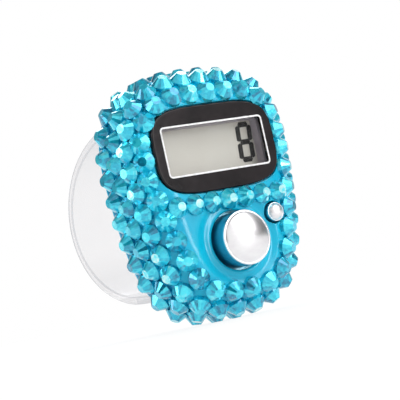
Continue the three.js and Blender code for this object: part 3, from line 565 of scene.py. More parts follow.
def by_height(lengths, z):
    """Blends a row's bottom, side and top lengths by height."""
    top = ramp(up_share(z), *ROW_TOP_RAMP)
    bottom = ramp(-up_share(z), *ROW_BOTTOM_RAMP)
    side = lengths["side"]
    return side + (lengths["top"] - side) * top + (lengths["bottom"] - side) * bottom


def row_arcs(z):
    """How far along the surface, from the flat front, each row lies at a height."""
    first = by_height(ROW_STARTS, z)
    third = first + by_height(ROW_THREE, z)
    return (first, first + by_height(ROW_TWO, z), third, LAST_ARC, (third + LAST_ARC) / 2)


def surface_point(place, distance):
    """A point of the surface and the way it faces, an arc away from the flat front."""
    x, z, nx, nz = place
    angle = min(distance, FILLET_ARC) / CASE_FILLET
    inset = CASE_FILLET * (1 - math.sin(angle))
    y = CASE_FILLET * (1 - math.cos(angle)) + max(0.0, distance - FILLET_ARC)
    axis = (nx * math.sin(angle), -math.cos(angle), nz * math.sin(angle))
    return (x - nx * inset, y, z - nz * inset, *axis)


print("arcs of the rows at the window's height, mm:", [round(arc, 2) for arc in row_arcs(0)])

# %% [markdown]
# Beside the panel the case is narrow, and stones of the front row would cut into
# the pocket. Each moves out along the fillet until it clears the edge, and the
# next two rows follow a little, so that no gap opens. A straight row of seven
# closes the space under the panel.

# %% Seats of the stones
STONE_PITCH = 3.36
ROW_FILL_ABOVE = 0.841
ROW_PHASES = (0.55, 0.05, 0.55, 0.05, 0.5)
ROW_FOLLOWS = (1.0, 0.5, 0.2, 0.0, 0.0)
MOST_MOVED = 0.6
MOVE_STEP = 0.05
POCKET_EDGE = panel_places(POCKET_GAP + POCKET_EASE)[::2]
RIM_STONES = 7
RIM_PITCH = 3.1702
RIM_SHIFT = 0.1
RIM_Z = -8.545


def moved_out(place, distance):
    """How far a front stone moves along the fillet until it clears the pocket."""
    moved = 0.0
    while moved < MOST_MOVED:
        x, _, z, _, facing, _ = surface_point(place, distance + moved)
        room = min(math.dist((x, z), edge) for edge in POCKET_EDGE)
        if room > -facing * STONE_RADIUS:
            break
        moved += MOVE_STEP
    return moved


def rim_seat(index):
    """A seat of the straight row, which dips with the fillet at its ends."""
    x = RIM_SHIFT + (index - (RIM_STONES - 1) / 2) * RIM_PITCH
    inward = max(0.0, CASE_FILLET - (half_width_at(RIM_Z) - abs(x)))
    y = CASE_FILLET - math.sqrt(CASE_FILLET**2 - inward**2)
    return (x, y, RIM_Z, 0, -1, 0)


fine_outline = case_outline(OUTLINE_STEPS)
moves = [moved_out(place, row_arcs(place[1])[0]) for place in fine_outline]
seats = []
for row, phase in enumerate(ROW_PHASES):
    line = [
        surface_point(place, row_arcs(place[1])[row] + move * ROW_FOLLOWS[row])
        for place, move in zip(fine_outline, moves)
    ]
    length = sum(math.dist(a[:3], b[:3]) for a, b in zip(line, line[1:] + line[:1]))
    seats.append(spaced(line, int(length / STONE_PITCH), phase))
seats[4] = [seat for seat in seats[4] if up_share(seat[2]) > ROW_FILL_ABOVE]
seats.append([rim_seat(index) for index in range(RIM_STONES)])
print("front stones move out by up to, mm:", round(max(moves), 2))
print("stones in each row:", [len(row) for row in seats])

# %% [markdown]
# ## One stone
# Each stone is a moulded resin gem: a round girdle, a ring of long facets that
# rise to the middle, and a small flat table. A sixteen-sided cone with a flat top
# gives the facets, and its base is extruded down for the girdle. Real stones have
# still more facets, but this one is copied more than a hundred times, so it has
# few faces.

# %% Model the stone
STONE_SIDES = 16
STONE_WIDE = 1.7
STONE_TABLE = 0.72
STONE_GIRDLE = 0.4
STONE_HEIGHT = 1.6
STONE_SINK = 0.25

crown = STONE_HEIGHT - STONE_GIRDLE
clear()
bpy.ops.mesh.primitive_cone_add(
    vertices=STONE_SIDES, radius1=STONE_WIDE * MM, radius2=STONE_TABLE * MM, depth=crown * MM,
    location=(0, 0, (STONE_GIRDLE + crown / 2) * MM),
)
stone = start("stone")
base_z = from_window((0, 0, STONE_GIRDLE * MM)).z
pick("FACE", lambda x, y, z: abs(z - base_z) < NEAR)
extrude(0, 0, -(STONE_GIRDLE + STONE_SINK))
clear()
print("one stone:", len(stone.data.polygons), "faces")

# %% [markdown]
# ## Set the stones
# Real stones never quite match: each is turned its own way. Every face also
# gets a number that the material reads as painted light: dark and pale facets
# stand in for what the stone reflects of the room, and the tables of some rows
# get a painted highlight. One number for each stone would leave its facets too
# alike. A seeded random order keeps it the same each run.

# %% Copy a stone to every seat
STONE_ROWS = [  # name, size of its stones, how much painted highlight their tables get
    ("front", 1.0, 0.0), ("second", 1.02, 0.3), ("third", 1.02, 0.12),
    ("back", 1.02, 0.0), ("crown", 1.0, 0.1), ("rim", 0.96, 0.4),
]
STONE_TWIST = 0.12
STONE_SPREAD = 0.06
FACET_SPREAD = 0.24
chance = random.Random(7)


def set_stone(name, seat, size, painted_table_light):
    """One stone with its own mesh, standing on its seat."""
    x, y, z, *axis = seat
    mesh = stone.data.copy()
    turn = Vector((0, 0, 1)).rotation_difference(Vector(axis).normalized()).to_matrix().to_4x4()
    twist = Matrix.Rotation(chance.uniform(-STONE_TWIST, STONE_TWIST), 4, "Z")
    mesh.transform(Matrix.Translation(at(x, y, z)) @ turn @ twist @ Matrix.Scale(size, 4))
    lights = mesh.attributes.new("painted_facet_light", "FLOAT", "FACE")
    # Painted light: a random brightness for each stone and each facet, and a painted highlight on
    # some tables.
    stone_light = 0.5 + chance.gauss(0.0, STONE_SPREAD)
    for light, face in zip(lights.data, stone.data.polygons):
        on_table = painted_table_light if face.center.z > (STONE_HEIGHT - 0.01) * MM else 0.0
        own_light = stone_light + on_table + chance.uniform(-FACET_SPREAD, FACET_SPREAD)
        light.value = min(1.0, max(0.0, own_light))
    copy = bpy.data.objects.new(name, mesh)
    bpy.context.scene.collection.objects.link(copy)
    return copy


stone_rows = []
for (row_name, size, painted_table_light), row in zip(STONE_ROWS, seats):
    copies = [set_stone(f"stone_{row_name}_{number}", seat, size, painted_table_light)
              for number, seat in enumerate(row)]
    joined = join(f"stones_{row_name}", copies)
    stone_rows.append(finished(joined, "case", "blue_shell", "front_housing"))
bpy.data.objects.remove(stone, do_unlink=True)
print("stones:", sum(len(row) for row in seats))

# %% [markdown]
# ## The panel
# The panel is a glossy black plate with an eased edge and a window cut through
# it. A thin white line is printed round the window. It could be painted by the
# material, but as a thin frame of its own it stays sharp from close by.

# %% Panel and printed line
PANEL_THICK = 0.6
PANEL_EDGE = 0.28
LINE_WIDTH = 0.27
LINE_FRONT_Y = -0.03
LINE_BACK_Y = 0.05


def window_box(name, margin, front, back):
    """A box with the window's outline, grown by a margin."""
    return rounded_box(name, (0, 0), WINDOW_HALF_X + margin, WINDOW_HALF_Z + margin,
                       front, back, WINDOW_CORNER + margin)


panel = ring_block("panel", panel_places(0), 0, PANEL_THICK, rounded=PANEL_EDGE, steps=4)
combine(panel, window_box("window", 0, -BEYOND, BEYOND))
finished(panel, "case", "black_gloss", "display_bezel", smooth=32, weighted=True)
window_line = window_box("window_line", LINE_WIDTH, LINE_FRONT_Y, LINE_BACK_Y)
combine(window_line, window_box("inner", 0, -BEYOND, BEYOND))
finished(window_line, "case", "clear_window", smooth=32)

# %% [markdown]
# ## The digit
# The display shows one eight, made of seven dark segments with pointed ends. A
# font has no such shapes, so one segment is a six-cornered plate stretched to
# length. It is made seven times, and the whole figure leans a little.

# %% Seven segments
DIGIT_X = 7.62
DIGIT_Z = 0.34
DIGIT_HALF_X = 1.1
DIGIT_HALF_Z = 2.84
DIGIT_LEAN = 0.07
SEGMENT_HALF = 0.44
SEGMENT_GAP = 0.11
SEGMENT_FRONT_Y = 2.97
SEGMENT_THICK = 0.06
SEGMENTS = [(0, 1), (0, 0), (0, -1), (-1, 0.5), (1, 0.5), (-1, -0.5), (1, -0.5)]


def segment(across, up):
    """One segment at its share of the digit's width and height, level in the middle."""
    level = across == 0
    radius = SEGMENT_HALF / math.cos(math.radians(30))
    stretch = (DIGIT_HALF_X if level else DIGIT_HALF_Z / 2) - SEGMENT_GAP - radius
    clear()
    bpy.ops.mesh.primitive_circle_add(
        vertices=6, radius=radius * MM, fill_type="NGON",
        location=at(0, SEGMENT_FRONT_Y, 0), rotation=(math.pi / 2, math.pi / 2, 0),
    )
    piece = start("segment")
    for side in (-1, 1):
        pick("VERT", lambda x, y, z: x * side > 0.01)
        bpy.ops.transform.translate(value=(side * stretch * MM, 0, 0))
    select_all()
    extrude(0, SEGMENT_THICK, 0)
    outward()
    clear()
    turn = Matrix.Identity(4) if level else Matrix.Rotation(math.pi / 2, 4, "Y")
    middle = at(DIGIT_X + across * DIGIT_HALF_X, 0, DIGIT_Z + up * DIGIT_HALF_Z) - at(0, 0, 0)
    to_middle = Matrix.Translation(WINDOW_MIDDLE)
    piece.data.transform(Matrix.Translation(middle) @ to_middle @ turn @ to_middle.inverted())
    for vertex in piece.data.vertices:
        vertex.co.x += DIGIT_LEAN * (vertex.co.z - at(0, 0, DIGIT_Z).z)
    return piece


digit = join("lcd_digit", [segment(*place) for place in SEGMENTS])
finished(digit, "case", "lcd_glass")

# %% [markdown]
# ## The buttons
# Both caps are domed and plated. The count button stands well proud of its dish.
# A fine groove parts the dome from the rounded rim, which shows as a bright ring.
# A squashed sphere would have neither groove nor rim, so the caps are turned.

# %% Count and reset buttons
CAP_RINGS = 14
FLANGE_Y = 2.5


def dome(radius, rim_y, rise):
    """A cap of a sphere from its pole to its rim, as (radius, y)."""
    ball = (radius**2 + rise**2) / (2 * rise)
    slope = math.asin(radius / ball)
    turns = [slope * ring / CAP_RINGS for ring in range(CAP_RINGS + 1)]
    return [(ball * math.sin(turn), rim_y - rise + ball * (1 - math.cos(turn))) for turn in turns]


def button(name, place, cap, rim_y, rise, ease, flange, flange_back, stem, stem_end):
    """Cap, flange and stem in one profile, from the dome's pole to the stem."""
    groove = [(cap - 1.8 * ease, rim_y + 0.5 * ease), (cap - 1.4 * ease, rim_y + 0.5 * ease)]
    profile = [
        *dome(cap - 2 * ease, rim_y, rise), *groove,
        *arc((cap - ease, rim_y + ease), ease, -90, 0, 5),
        (cap, FLANGE_Y), (flange, FLANGE_Y), (flange, flange_back), (stem, flange_back),
        (stem, stem_end), (0, stem_end),
    ]
    return turned(name, place, profile, 72)


count_button = button("count_cap", COUNT_PLACE, cap=4.3, rim_y=-2.4, rise=1.25, ease=0.15,
                      flange=5.7, flange_back=3.3, stem=2.175, stem_end=3.6)
reset_button = button("reset_cap", RESET_PLACE, cap=1.5, rim_y=-0.5, rise=0.75, ease=0.06,
                      flange=2.2, flange_back=3.1, stem=1.0, stem_end=3.9)
finished(count_button, "count_button", "chrome_cap", "count_button", smooth=35)
finished(reset_button, "reset_button", "chrome_cap", "reset_button", smooth=35)

# %% [markdown]
# ## The back cover
# The cover closes the case behind the stones. Inside it a lip finds the shell's
# wall, and gives way to the screw bosses and the band's heads. The lip could be
# inset from the cover's face; as a ring of its own it is easy to cut.

# %% Lip of the cover
BAND_MIDDLE_Z = -6.7995
BAND_TALL = 14.8986
BAND_THICK = 1.3
LEG_CORNER = 0.25
LIP_FRONT_Y = 10.9
LIP_OUTER_INSET = 1.95
LIP_INNER_INSET = 2.85
LIP_OVERLAP = 0.3
ROOM_FRONT_Y = 9.9
BOSS_ROOM = 2.25
HEAD_ROOM_HALF_X = 6.7
HEAD_ROOM_REACH = 1.2


def leg_blocks(half_x, front, back, reach):
    """Blocks over the band's two ends, grown above and below by a reach."""
    half = BAND_THICK / 2
    places = [(0, BAND_MIDDLE_Z + side * (BAND_TALL - half)) for side in (-1, 1)]
    return [rounded_box("leg", place, half_x, half + reach, front, back, LEG_CORNER, steps=3)
            for place in places]


lip = case_block("lip", LIP_OUTER_INSET, LIP_FRONT_Y, SEAM_Y + LIP_OVERLAP)
combine(lip, case_block("lip_room", LIP_INNER_INSET, ROOM_FRONT_Y, SEAM_Y + BEYOND))
boss_room = turned_at(SCREW_PLACES, "room", rod(BOSS_ROOM, ROOM_FRONT_Y, SEAM_Y), 28)
head_room = leg_blocks(HEAD_ROOM_HALF_X, ROOM_FRONT_Y, SEAM_Y, HEAD_ROOM_REACH)
combine(lip, *boss_room, *head_room)
print("lip:", len(lip.data.polygons), "faces")

# %% [markdown]
# Outside, the cover has a rounded edge, a raised pad that rests on the finger,
# two slots for the band and four recesses for screws, each a bore with a wider
# seat and a small chamfer.

# %% Cover, pad, slots and recesses
COVER_BACK_Y = 13.6
COVER_INSET = 0.35
COVER_EDGE = 0.9
PAD_HALF_X = 5.5
PAD_HALF_Z = 7.0023
PAD_START_Y = SEAM_Y + 0.2
PAD_BACK_Y = 14.0
PAD_CORNER = 2.5
PAD_EDGE = 0.25
BAND_NECK = 6.3979
SLOT_GAP = 0.3
CUT_FRONT_Y = 11
CUT_BACK_Y = 14.6
SCREW_SEAT_Y = 12.7
RECESS = [(0, CUT_FRONT_Y), (1.1, CUT_FRONT_Y), (1.1, SCREW_SEAT_Y), (1.8, SCREW_SEAT_Y),
          (1.8, 13.4), (1.95, 13.62), (1.95, CUT_BACK_Y), (0, CUT_BACK_Y)]

cover = case_block("cover", COVER_INSET, SEAM_Y, COVER_BACK_Y,
                   rounded=COVER_EDGE, steps=6, round_back=True)
pad = rounded_box("pad", (0, BAND_MIDDLE_Z), PAD_HALF_X, PAD_HALF_Z, PAD_START_Y, PAD_BACK_Y,
                  PAD_CORNER, steps=8, back_edge=PAD_EDGE)
combine(cover, lip, pad, way="UNION")
recesses = turned_at(SCREW_PLACES, "recess", RECESS, 40)
slots = leg_blocks(BAND_NECK + SLOT_GAP, CUT_FRONT_Y, CUT_BACK_Y, SLOT_GAP)
combine(cover, *recesses, *slots)
finished(cover, "case", "blue_cover", "back_cover", smooth=32, weighted=True)

# %% [markdown]
# ## The cover's screws
# Small cross-head screws, turned like the buttons and then cut twice. One is
# modelled and copied to the four places, each turned its own way, as a
# screwdriver leaves them. A thread would be hidden in the boss.

# %% Case screws
SCREW_PROFILE = [
    (0, 8.8), (0.4, 8.8), (0.8, 9.2), (0.8, SCREW_SEAT_Y), (1.5, SCREW_SEAT_Y),
    (1.5, 13.1), (1.38, 13.32), (1.1, 13.45), (0.6, 13.5), (0, 13.5),
]
CROSS_LONG = 0.95
CROSS_WIDE = 0.17
CROSS_FRONT_Y = 12.95
CROSS_BACK_Y = 14
CROSS_CORNER = 0.05
SCREW_TURN = 0.7


def placed(place):
    """A move along the case to a place (x, z)."""
    return Matrix.Translation(at(place[0], 0, place[1]))


first_screw = turned("cover_screw_1", SCREW_PLACES[0], SCREW_PROFILE, 32)
cuts = [
    rounded_box("cut", SCREW_PLACES[0], half_x, half_z, CROSS_FRONT_Y, CROSS_BACK_Y,
                CROSS_CORNER, steps=2)
    for half_x, half_z in ((CROSS_LONG, CROSS_WIDE), (CROSS_WIDE, CROSS_LONG))
]
combine(first_screw, *cuts)
cover_screws = [first_screw]
for number, place in enumerate(SCREW_PLACES[1:], start=2):
    copy = first_screw.copy()
    copy.data = first_screw.data.copy()
    copy.name = copy.data.name = f"cover_screw_{number}"
    turn = Matrix.Rotation(SCREW_TURN * number, 4, "Y")
    copy.data.transform(placed(place) @ turn @ placed(SCREW_PLACES[0]).inverted())
    bpy.context.scene.collection.objects.link(copy)
    cover_screws.append(copy)
for number, screw in enumerate(cover_screws, start=1):
    finished(screw, "case", "screw_steel", f"case_screw_{number}", smooth=35)

# %% [markdown]
# ## The finger band
# A strip of clear plastic bent into a hoop. A curve with a bevel could make it,
# but its width changes: the strip narrows where it passes the cover's slots. So
# half a circle is stretched into an ellipse, its ends are drawn straight into the
# case, the line is extruded into a strip, and the strip's points move to its
# width.

# %% Strip of the band
BAND_START_Y = 15.8
BAND_END_Y = 11.5
BAND_DEEP = 21.3
BAND_HALF_WIDTH = 9.0009
BAND_NECK_START_Y = 13.8
BAND_NECK_END_Y = 20.5
BAND_STEPS = 144


def band_half(y):
    """Half-width of the band at a depth, growing softly from its neck."""
    share = ramp(y, BAND_NECK_START_Y, BAND_NECK_END_Y)
    return BAND_NECK + (BAND_HALF_WIDTH - BAND_NECK) * share * share * (3 - 2 * share)


clear()
middle = at(0, BAND_START_Y, BAND_MIDDLE_Z)
bpy.ops.mesh.primitive_circle_add(vertices=BAND_STEPS, radius=BAND_DEEP * MM,
                                  fill_type="NOTHING", location=middle,
                                  rotation=(0, math.pi / 2, 0))
band = start("band")
pick("VERT", lambda x, y, z: y < BAND_START_Y - NEAR)
bpy.ops.mesh.delete(type="VERT")
select_all()
bpy.ops.transform.resize(value=(1, 1, BAND_TALL / BAND_DEEP), center_override=middle)
pick("VERT", lambda x, y, z: y < BAND_START_Y + NEAR)
for _ in range(3):
    extrude(0, (BAND_END_Y - BAND_START_Y) / 3, 0)
select_all()
bpy.ops.transform.translate(value=(-MM, 0, 0))
extrude(2, 0, 0)
mesh = bmesh.from_edit_mesh(band.data)
for vertex in mesh.verts:
    x, y, z = from_window(vertex.co)
    vertex.co = at(math.copysign(band_half(y), x), y, z)
bmesh.update_edit_mesh(band.data)
outward()
mesh = bmesh.from_edit_mesh(band.data)
if max(mesh.faces, key=lambda face: face.calc_center_median().y).normal.y < 0:
    bpy.ops.mesh.flip_normals()
print("strip:", len(mesh.faces), "faces")

# %% [markdown]
# Solidify gives the thickness and a bevel eases the long edges. Two heads inside
# the cover hold the band. The eased edges are marked by a number on each face,
# on which the material paints soft grey lines: painted shade for the light that
# the clear edges bend away.

# %% Thickness, heads and marked edges
BAND_EASE = 0.34
HEAD_HALF_X = 5.206
HEAD_BACK_Y = SEAM_Y - 0.05
HEAD_REACH = 0.9

apply_modifier(band, "SOLIDIFY", thickness=BAND_THICK * MM, offset=-1.0, use_even_offset=True)
apply_modifier(band, "BEVEL", width=BAND_EASE * MM, segments=4, limit_method="ANGLE",
               angle_limit=math.radians(50))
combine(band, *leg_blocks(HEAD_HALF_X, LIP_FRONT_Y, HEAD_BACK_Y, HEAD_REACH), way="UNION")
finished(band, "case", "clear_band", "finger_band", smooth=35)
marks = band.data.attributes.new("rim", "FLOAT", "FACE")
for mark, face in zip(marks.data, band.data.polygons):
    mark.value = 1.0 if 0.12 < abs(face.normal.x) < 0.95 else 0.0

# %% [markdown]
# ## Helpers for finishes
# A finish is a Principled shader with patterns made by nodes. Shader maths reads
# like Python: a small class wraps a number socket, so that 1 - mask adds a Math
# node. Every other node comes from one method, which sets what kind of node it
# is first and then fills or links its sockets.

# %% Shader maths
class Value:
    """One number in a shader, on which Python's operators work."""

    def __init__(self, nodes, socket):
        self.nodes = nodes
        self.socket = socket

    def math(self, operation, first, second):
        return self.nodes.node("ShaderNodeMath", {"operation": operation}, {0: first, 1: second})

    def __add__(self, other):
        return self.math("ADD", self, other)

    def __radd__(self, other):
        return self.math("ADD", other, self)

    def __sub__(self, other):
        return self.math("SUBTRACT", self, other)

    def __rsub__(self, other):
        return self.math("SUBTRACT", other, self)

    def __mul__(self, other):
        return self.math("MULTIPLY", self, other)

    def __rmul__(self, other):
        return self.math("MULTIPLY", other, self)

    def __pow__(self, other):
        return self.math("POWER", self, other)

    def most(self, other):
        return self.math("MAXIMUM", self, other)

    def between(self, low, high):
        """Nought at low, one at high, and even between them."""
        sockets = {"Value": self, "From Min": low, "From Max": high}
        return self.nodes.node("ShaderNodeMapRange", {"clamp": True}, sockets)


class Nodes:
    """A node tree and the one way to add nodes to it."""

    def __init__(self, tree):
        self.tree = tree

    def node(self, kind, settings=None, sockets=None, output=0):
        """Adds a node: its settings first, then the values or links of its sockets."""
        made = self.tree.nodes.new(kind)
        for name, value in (settings or {}).items():
            setattr(made, name, value)
        for name, value in (sockets or {}).items():
            self.feed(made.inputs[name], value)
        return Value(self, made.outputs[output])

    def feed(self, socket, value):
        """Links a value to a socket, or sets the socket's own constant."""
        if isinstance(value, Value):
            self.tree.links.new(value.socket, socket)
        else:
            socket.default_value = value

    def ray(self, kind):
        """One for rays of a kind, such as those from the camera."""
        return self.node("ShaderNodeLightPath", output=f"Is {kind} Ray")


# %% [markdown]
# The patterns that several finishes share are methods of one class: soft noise,
# cells, scratches, and the depth behind the flat front. They read Object
# coordinates, so that a pattern stays on its piece.

# %% The finish class
def tone(colour):
    """A colour as a screen shows it, from 0 to 255, as the shader's own values."""
    shares = [value / 255 for value in colour]
    linear = [v / 12.92 if v <= 0.04045 else ((v + 0.055) / 1.055) ** 2.4 for v in shares]
    return (*linear, 1.0)


class Finish(Nodes):
    """A material with a Principled shader, and the patterns that finishes share."""

    def __init__(self, name, colour, roughness, **constants):
        self.material = bpy.data.materials.new(name)
        self.material.use_nodes = True
        super().__init__(self.material.node_tree)
        self.shader = self.tree.nodes["Principled BSDF"]
        self.plain = Value(self, self.shader.outputs[0])
        self.set("Base Color", tone(colour))
        self.set("Roughness", roughness)
        for socket, value in constants.items():
            self.set(socket.replace("_", " "), value)

    def set(self, socket, value):
        """Gives one of the shader's sockets a constant or a value."""
        self.feed(self.shader.inputs[socket], value)

    def mix(self, share, first, second):
        """Mixes two colours, each a tone or a value."""
        first, second = (c if isinstance(c, Value) else tone(c) for c in (first, second))
        sockets = {0: share, 6: first, 7: second}
        return self.node("ShaderNodeMix", {"data_type": "RGBA"}, sockets, output=2)

    def colour(self, share, first, second):
        """Gives the shader a mix of two colours."""
        self.set("Base Color", self.mix(share, first, second))

    def bump(self, height, depth):
        """Raises the surface by a pattern, to a depth in millimetres."""
        sockets = {"Height": height, "Distance": depth * MM}
        self.set("Normal", self.node("ShaderNodeBump", None, sockets))

    def surface(self, share, first, second):
        """Shows a mix of two shaders."""
        mixed = self.node("ShaderNodeMixShader", None, {0: share, 1: first, 2: second})
        self.feed(self.tree.nodes["Material Output"].inputs["Surface"], mixed)

    def place(self):
        return self.node("ShaderNodeTexCoord", output="Object")

    def inward(self):
        """Millimetres behind the flat front."""
        along = self.node("ShaderNodeSeparateXYZ", None, {0: self.place()}, output="Y")
        return along * (1 / MM) - WINDOW_MIDDLE.y / MM

    def stretched(self, *scale):
        """The place on the piece, stretched along each axis."""
        return self.node("ShaderNodeMapping", None, {"Vector": self.place(), "Scale": scale})

    def noise(self, size, detail=2.0, place=None):
        """Soft random patches of a size in millimetres, around one half."""
        sockets = {"Vector": place or self.place(), "Scale": 1 / (size * MM), "Detail": detail}
        return self.node("ShaderNodeTexNoise", None, sockets)

    def cells(self, size, feature="F1", place=None, output="Distance"):
        """Scattered cells: the distance to their points or edges, or their colours."""
        sockets = {"Vector": place or self.place(), "Scale": 1 / (size * MM)}
        return self.node("ShaderNodeTexVoronoi", {"feature": feature}, sockets, output)

    def scratches(self, size, share):
        """Thin broken lines: the edges between stretched cells, kept only in patches."""
        line = self.cells(size, "DISTANCE_TO_EDGE", self.stretched(1.0, 1.0, 6.0))
        patches = self.noise(size * 1.7).between(1 - share, 1 - share + 0.08)
        return line.between(0.035, 0.0) * patches

    def attribute(self, name):
        """A number that the mesh stores on its faces."""
        return self.node("ShaderNodeAttribute", {"attribute_name": name}, output="Fac")


def dress(finish, *pieces):
    """Gives one finish to CAD nodes, by name, or to pieces of this scene."""
    for piece in pieces:
        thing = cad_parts[piece] if isinstance(piece, str) else piece
        if not thing.material_slots:
            thing.data.materials.append(finish.material)
        for slot in thing.material_slots:
            slot.material = finish.material
    print(f"{finish.material.name}: {len(finish.tree.nodes)} nodes on {len(pieces)} pieces")


# %% [markdown]
# ## Blue plastic
# The shell is glossy blue plastic. Its colour drifts a little from place to
# place, its polish is never quite even, and fine handling scratches break up the
# reflections. Between the stones and deep in the openings a darker blue is
# painted from a depth behind the front on: painted shade in the gaps. The cover
# is the same plastic with a satin surface and no painted shade.

# %% Shell and cover
BLUE = (0, 185, 217)
DEEP_BLUE = (0, 172, 207)
SATIN_BLUE = (6, 172, 210)
# Painted shade for the gaps between the stones and deep in the openings.
GAP_SHADE_BLUE = (0, 122, 162)
GAP_SHADE_STARTS_Y = 2.3
NO_GAP_SHADE_Y = 90.0


def blue_plastic(name, colour, roughness, grain, gap_shade_from):
    """Moulded blue plastic, with painted shade from a depth behind the front on."""
    finish = Finish(name, colour, roughness, Coat_Weight=0.15, Coat_Roughness=0.06,
                    Specular_IOR_Level=0.3)
    drift = finish.noise(9.0, detail=3.0).between(0.35, 0.75)
    # Painted shade: darker blue from a depth behind the front on.
    gap_shade = (finish.inward() + finish.noise(0.8) * 0.6).between(gap_shade_from, gap_shade_from + 1.0)
    finish.colour(gap_shade, finish.mix(drift, colour, DEEP_BLUE), GAP_SHADE_BLUE)
    worn = finish.scratches(2.6, 0.28)
    polish = finish.noise(1.4).between(0.2, 0.9)
    finish.set("Roughness", polish * 0.08 + worn * 0.2 + roughness)
    finish.bump(finish.noise(grain, detail=3.0) - worn * 0.5, 0.004)
    return finish


dress(blue_plastic("blue_plastic", BLUE, 0.17, 1.1, GAP_SHADE_STARTS_Y), shell)
dress(blue_plastic("blue_satin_plastic", SATIN_BLUE, 0.34, 0.28, NO_GAP_SHADE_Y), cover)

# %% [markdown]
# ## Stones
# The resin is clear blue over a mirror backing, so one facet looks dark and the
# next one nearly white, by what it shows of the room. Glass with a mirror behind
# it would need many light bounces; a strong clear coat on a half metallic blue
# stands in for it, and the dark and nearly white facets are painted reflections:
# the number stored on each facet and small painted glints pick its colour. The
# surface has a faint ripple from the mould.

# %% Stones
# Painted reflections, from the darkest facet to a nearly white one.
STONE_TONES = [(0, 128, 164), (0, 192, 222), (60, 230, 248), (196, 246, 246)]

stones = Finish("blue_resin_stone", BLUE, 0.08, Metallic=0.5, Coat_Weight=1.0,
                Coat_Roughness=0.04, Coat_IOR=1.55)
ripple = stones.noise(0.9)
# Painted glints: small cells of random brightness on the facets.
painted_glints = stones.cells(0.5, output="Color")
light = stones.attribute("painted_facet_light") * 0.75 + painted_glints * 0.25 + ripple * 0.2 - 0.1
dark_half = stones.mix(light.between(0.3, 0.48), STONE_TONES[0], STONE_TONES[1])
blue_half = stones.mix(light.between(0.52, 0.72), dark_half, STONE_TONES[2])
stones.colour(light.between(0.76, 0.94), blue_half, STONE_TONES[3])
stones.set("Roughness", ripple.between(0.3, 0.8) * 0.08 + 0.1)
stones.bump(ripple, 0.02)
dress(stones, *stone_rows)

# %% [markdown]
# ## Panel and printed line
# The panel is glossy black-brown plastic with fine dust and hairlines. The line
# is white ink, a little uneven. Plain black and plain white would look like
# paper cut-outs here.

# %% Panel and line
gloss = Finish("black_gloss_plastic", (28, 24, 26), 0.12, Coat_Weight=0.06,
               Coat_Roughness=0.04, Specular_IOR_Level=0.22)
gloss.colour(gloss.noise(5.0).between(0.3, 0.7), (22, 18, 20), (38, 32, 34))
hairlines = gloss.scratches(1.9, 0.3)
gloss.set("Roughness", gloss.noise(0.8).between(0.3, 0.9) * 0.1 + hairlines * 0.2 + 0.1)
gloss.bump(gloss.noise(0.5) - hairlines, 0.006)
dress(gloss, panel)

ink = Finish("white_ink", (238, 236, 236), 0.45)
ink_cover = ink.noise(0.35, detail=3.0)
ink.colour(ink_cover.between(0.25, 0.6), (206, 204, 206), (244, 243, 243))
ink.set("Roughness", ink_cover * 0.3 + 0.3)
ink.bump(ink_cover, 0.01)
dress(ink, window_line)

# %% [markdown]
# ## Clear plastic
# The window and the band are clear: light passes straight through, and more is
# reflected towards the edges and where dust lies. A transmission shader would
# bend the light and darken the thin hoop, so a see-through shader is mixed with
# a solid one instead, by the angle of view.

# %% Window and band
def clear_plastic(name, see_through, solid_colour, least, most, power, marked):
    """Clear plastic, more solid towards its rims and on its marked faces."""
    finish = Finish(name, solid_colour, 0.04, IOR=1.49, Coat_Weight=0.3, Coat_Roughness=0.03)
    facing = finish.node("ShaderNodeLayerWeight", None, {"Blend": 0.5}, output="Facing")
    edge = finish.attribute("rim")
    dust = finish.noise(0.5, detail=3.0).between(0.62, 0.85)
    haze = finish.noise(4.0)
    # Painted shade: the marked edges are made more solid, as soft grey lines.
    solid = facing ** power * (most - least) + edge * marked + dust * 0.05 + haze * 0.02 + least
    finish.set("Roughness", dust * 0.3 + haze * 0.05 + 0.04)
    finish.bump(haze, 0.03)
    passing = finish.node("ShaderNodeBsdfTransparent", None, {"Color": see_through})
    finish.surface(solid, passing, finish.plain)
    return finish


window_finish = clear_plastic("clear_window_plastic", (0.99, 0.99, 0.99, 1), (240, 242, 243),
                              least=0.0, most=0.3, power=4, marked=0.0)
band_finish = clear_plastic("clear_band_plastic", (0.972, 0.967, 0.97, 1), (186, 184, 190),
                            least=0.03, most=0.5, power=3, marked=0.3)
dress(window_finish, "window_lens")
dress(band_finish, band)

# %% [markdown]
# ## Display
# The front glass of a simple display looks beige-grey, because it has a
# polarising film and a dull mirror behind it. Its fine grain is what tells it
# from painted card. The segments are near-black.

# %% Display glass and digit
glass = Finish("display_glass", (205, 201, 188), 0.25, Coat_Weight=0.5, Coat_Roughness=0.05)
grain = glass.noise(0.18)
beige = glass.mix(glass.noise(7.0, detail=1.0).between(0.3, 0.7), (194, 191, 181), (201, 199, 190))
glass.colour(grain.between(0.35, 0.8) * 0.25, beige, (190, 187, 177))
glass.set("Roughness", grain * 0.1 + 0.2)
glass.bump(grain, 0.004)
dress(glass, "lcd_front_glass", "lcd_rear_glass")

dark = Finish("display_segment", (28, 26, 26), 0.35, Specular_IOR_Level=0.1)
segment_drift = dark.noise(0.6)
dark.colour(segment_drift.between(0.3, 0.7), (14, 12, 12), (34, 31, 30))
dark.set("Roughness", segment_drift * 0.2 + 0.25)
dark.bump(segment_drift, 0.003)
dress(dark, digit)

# %% [markdown]
# ## Moulded and rubber pieces
# The hidden pieces have plain finishes with the grain that their material has:
# spark-eroded plastic, open foam, matt silicone, fired ceramic, cast resin. They
# differ only in numbers, so one loop reads a table.

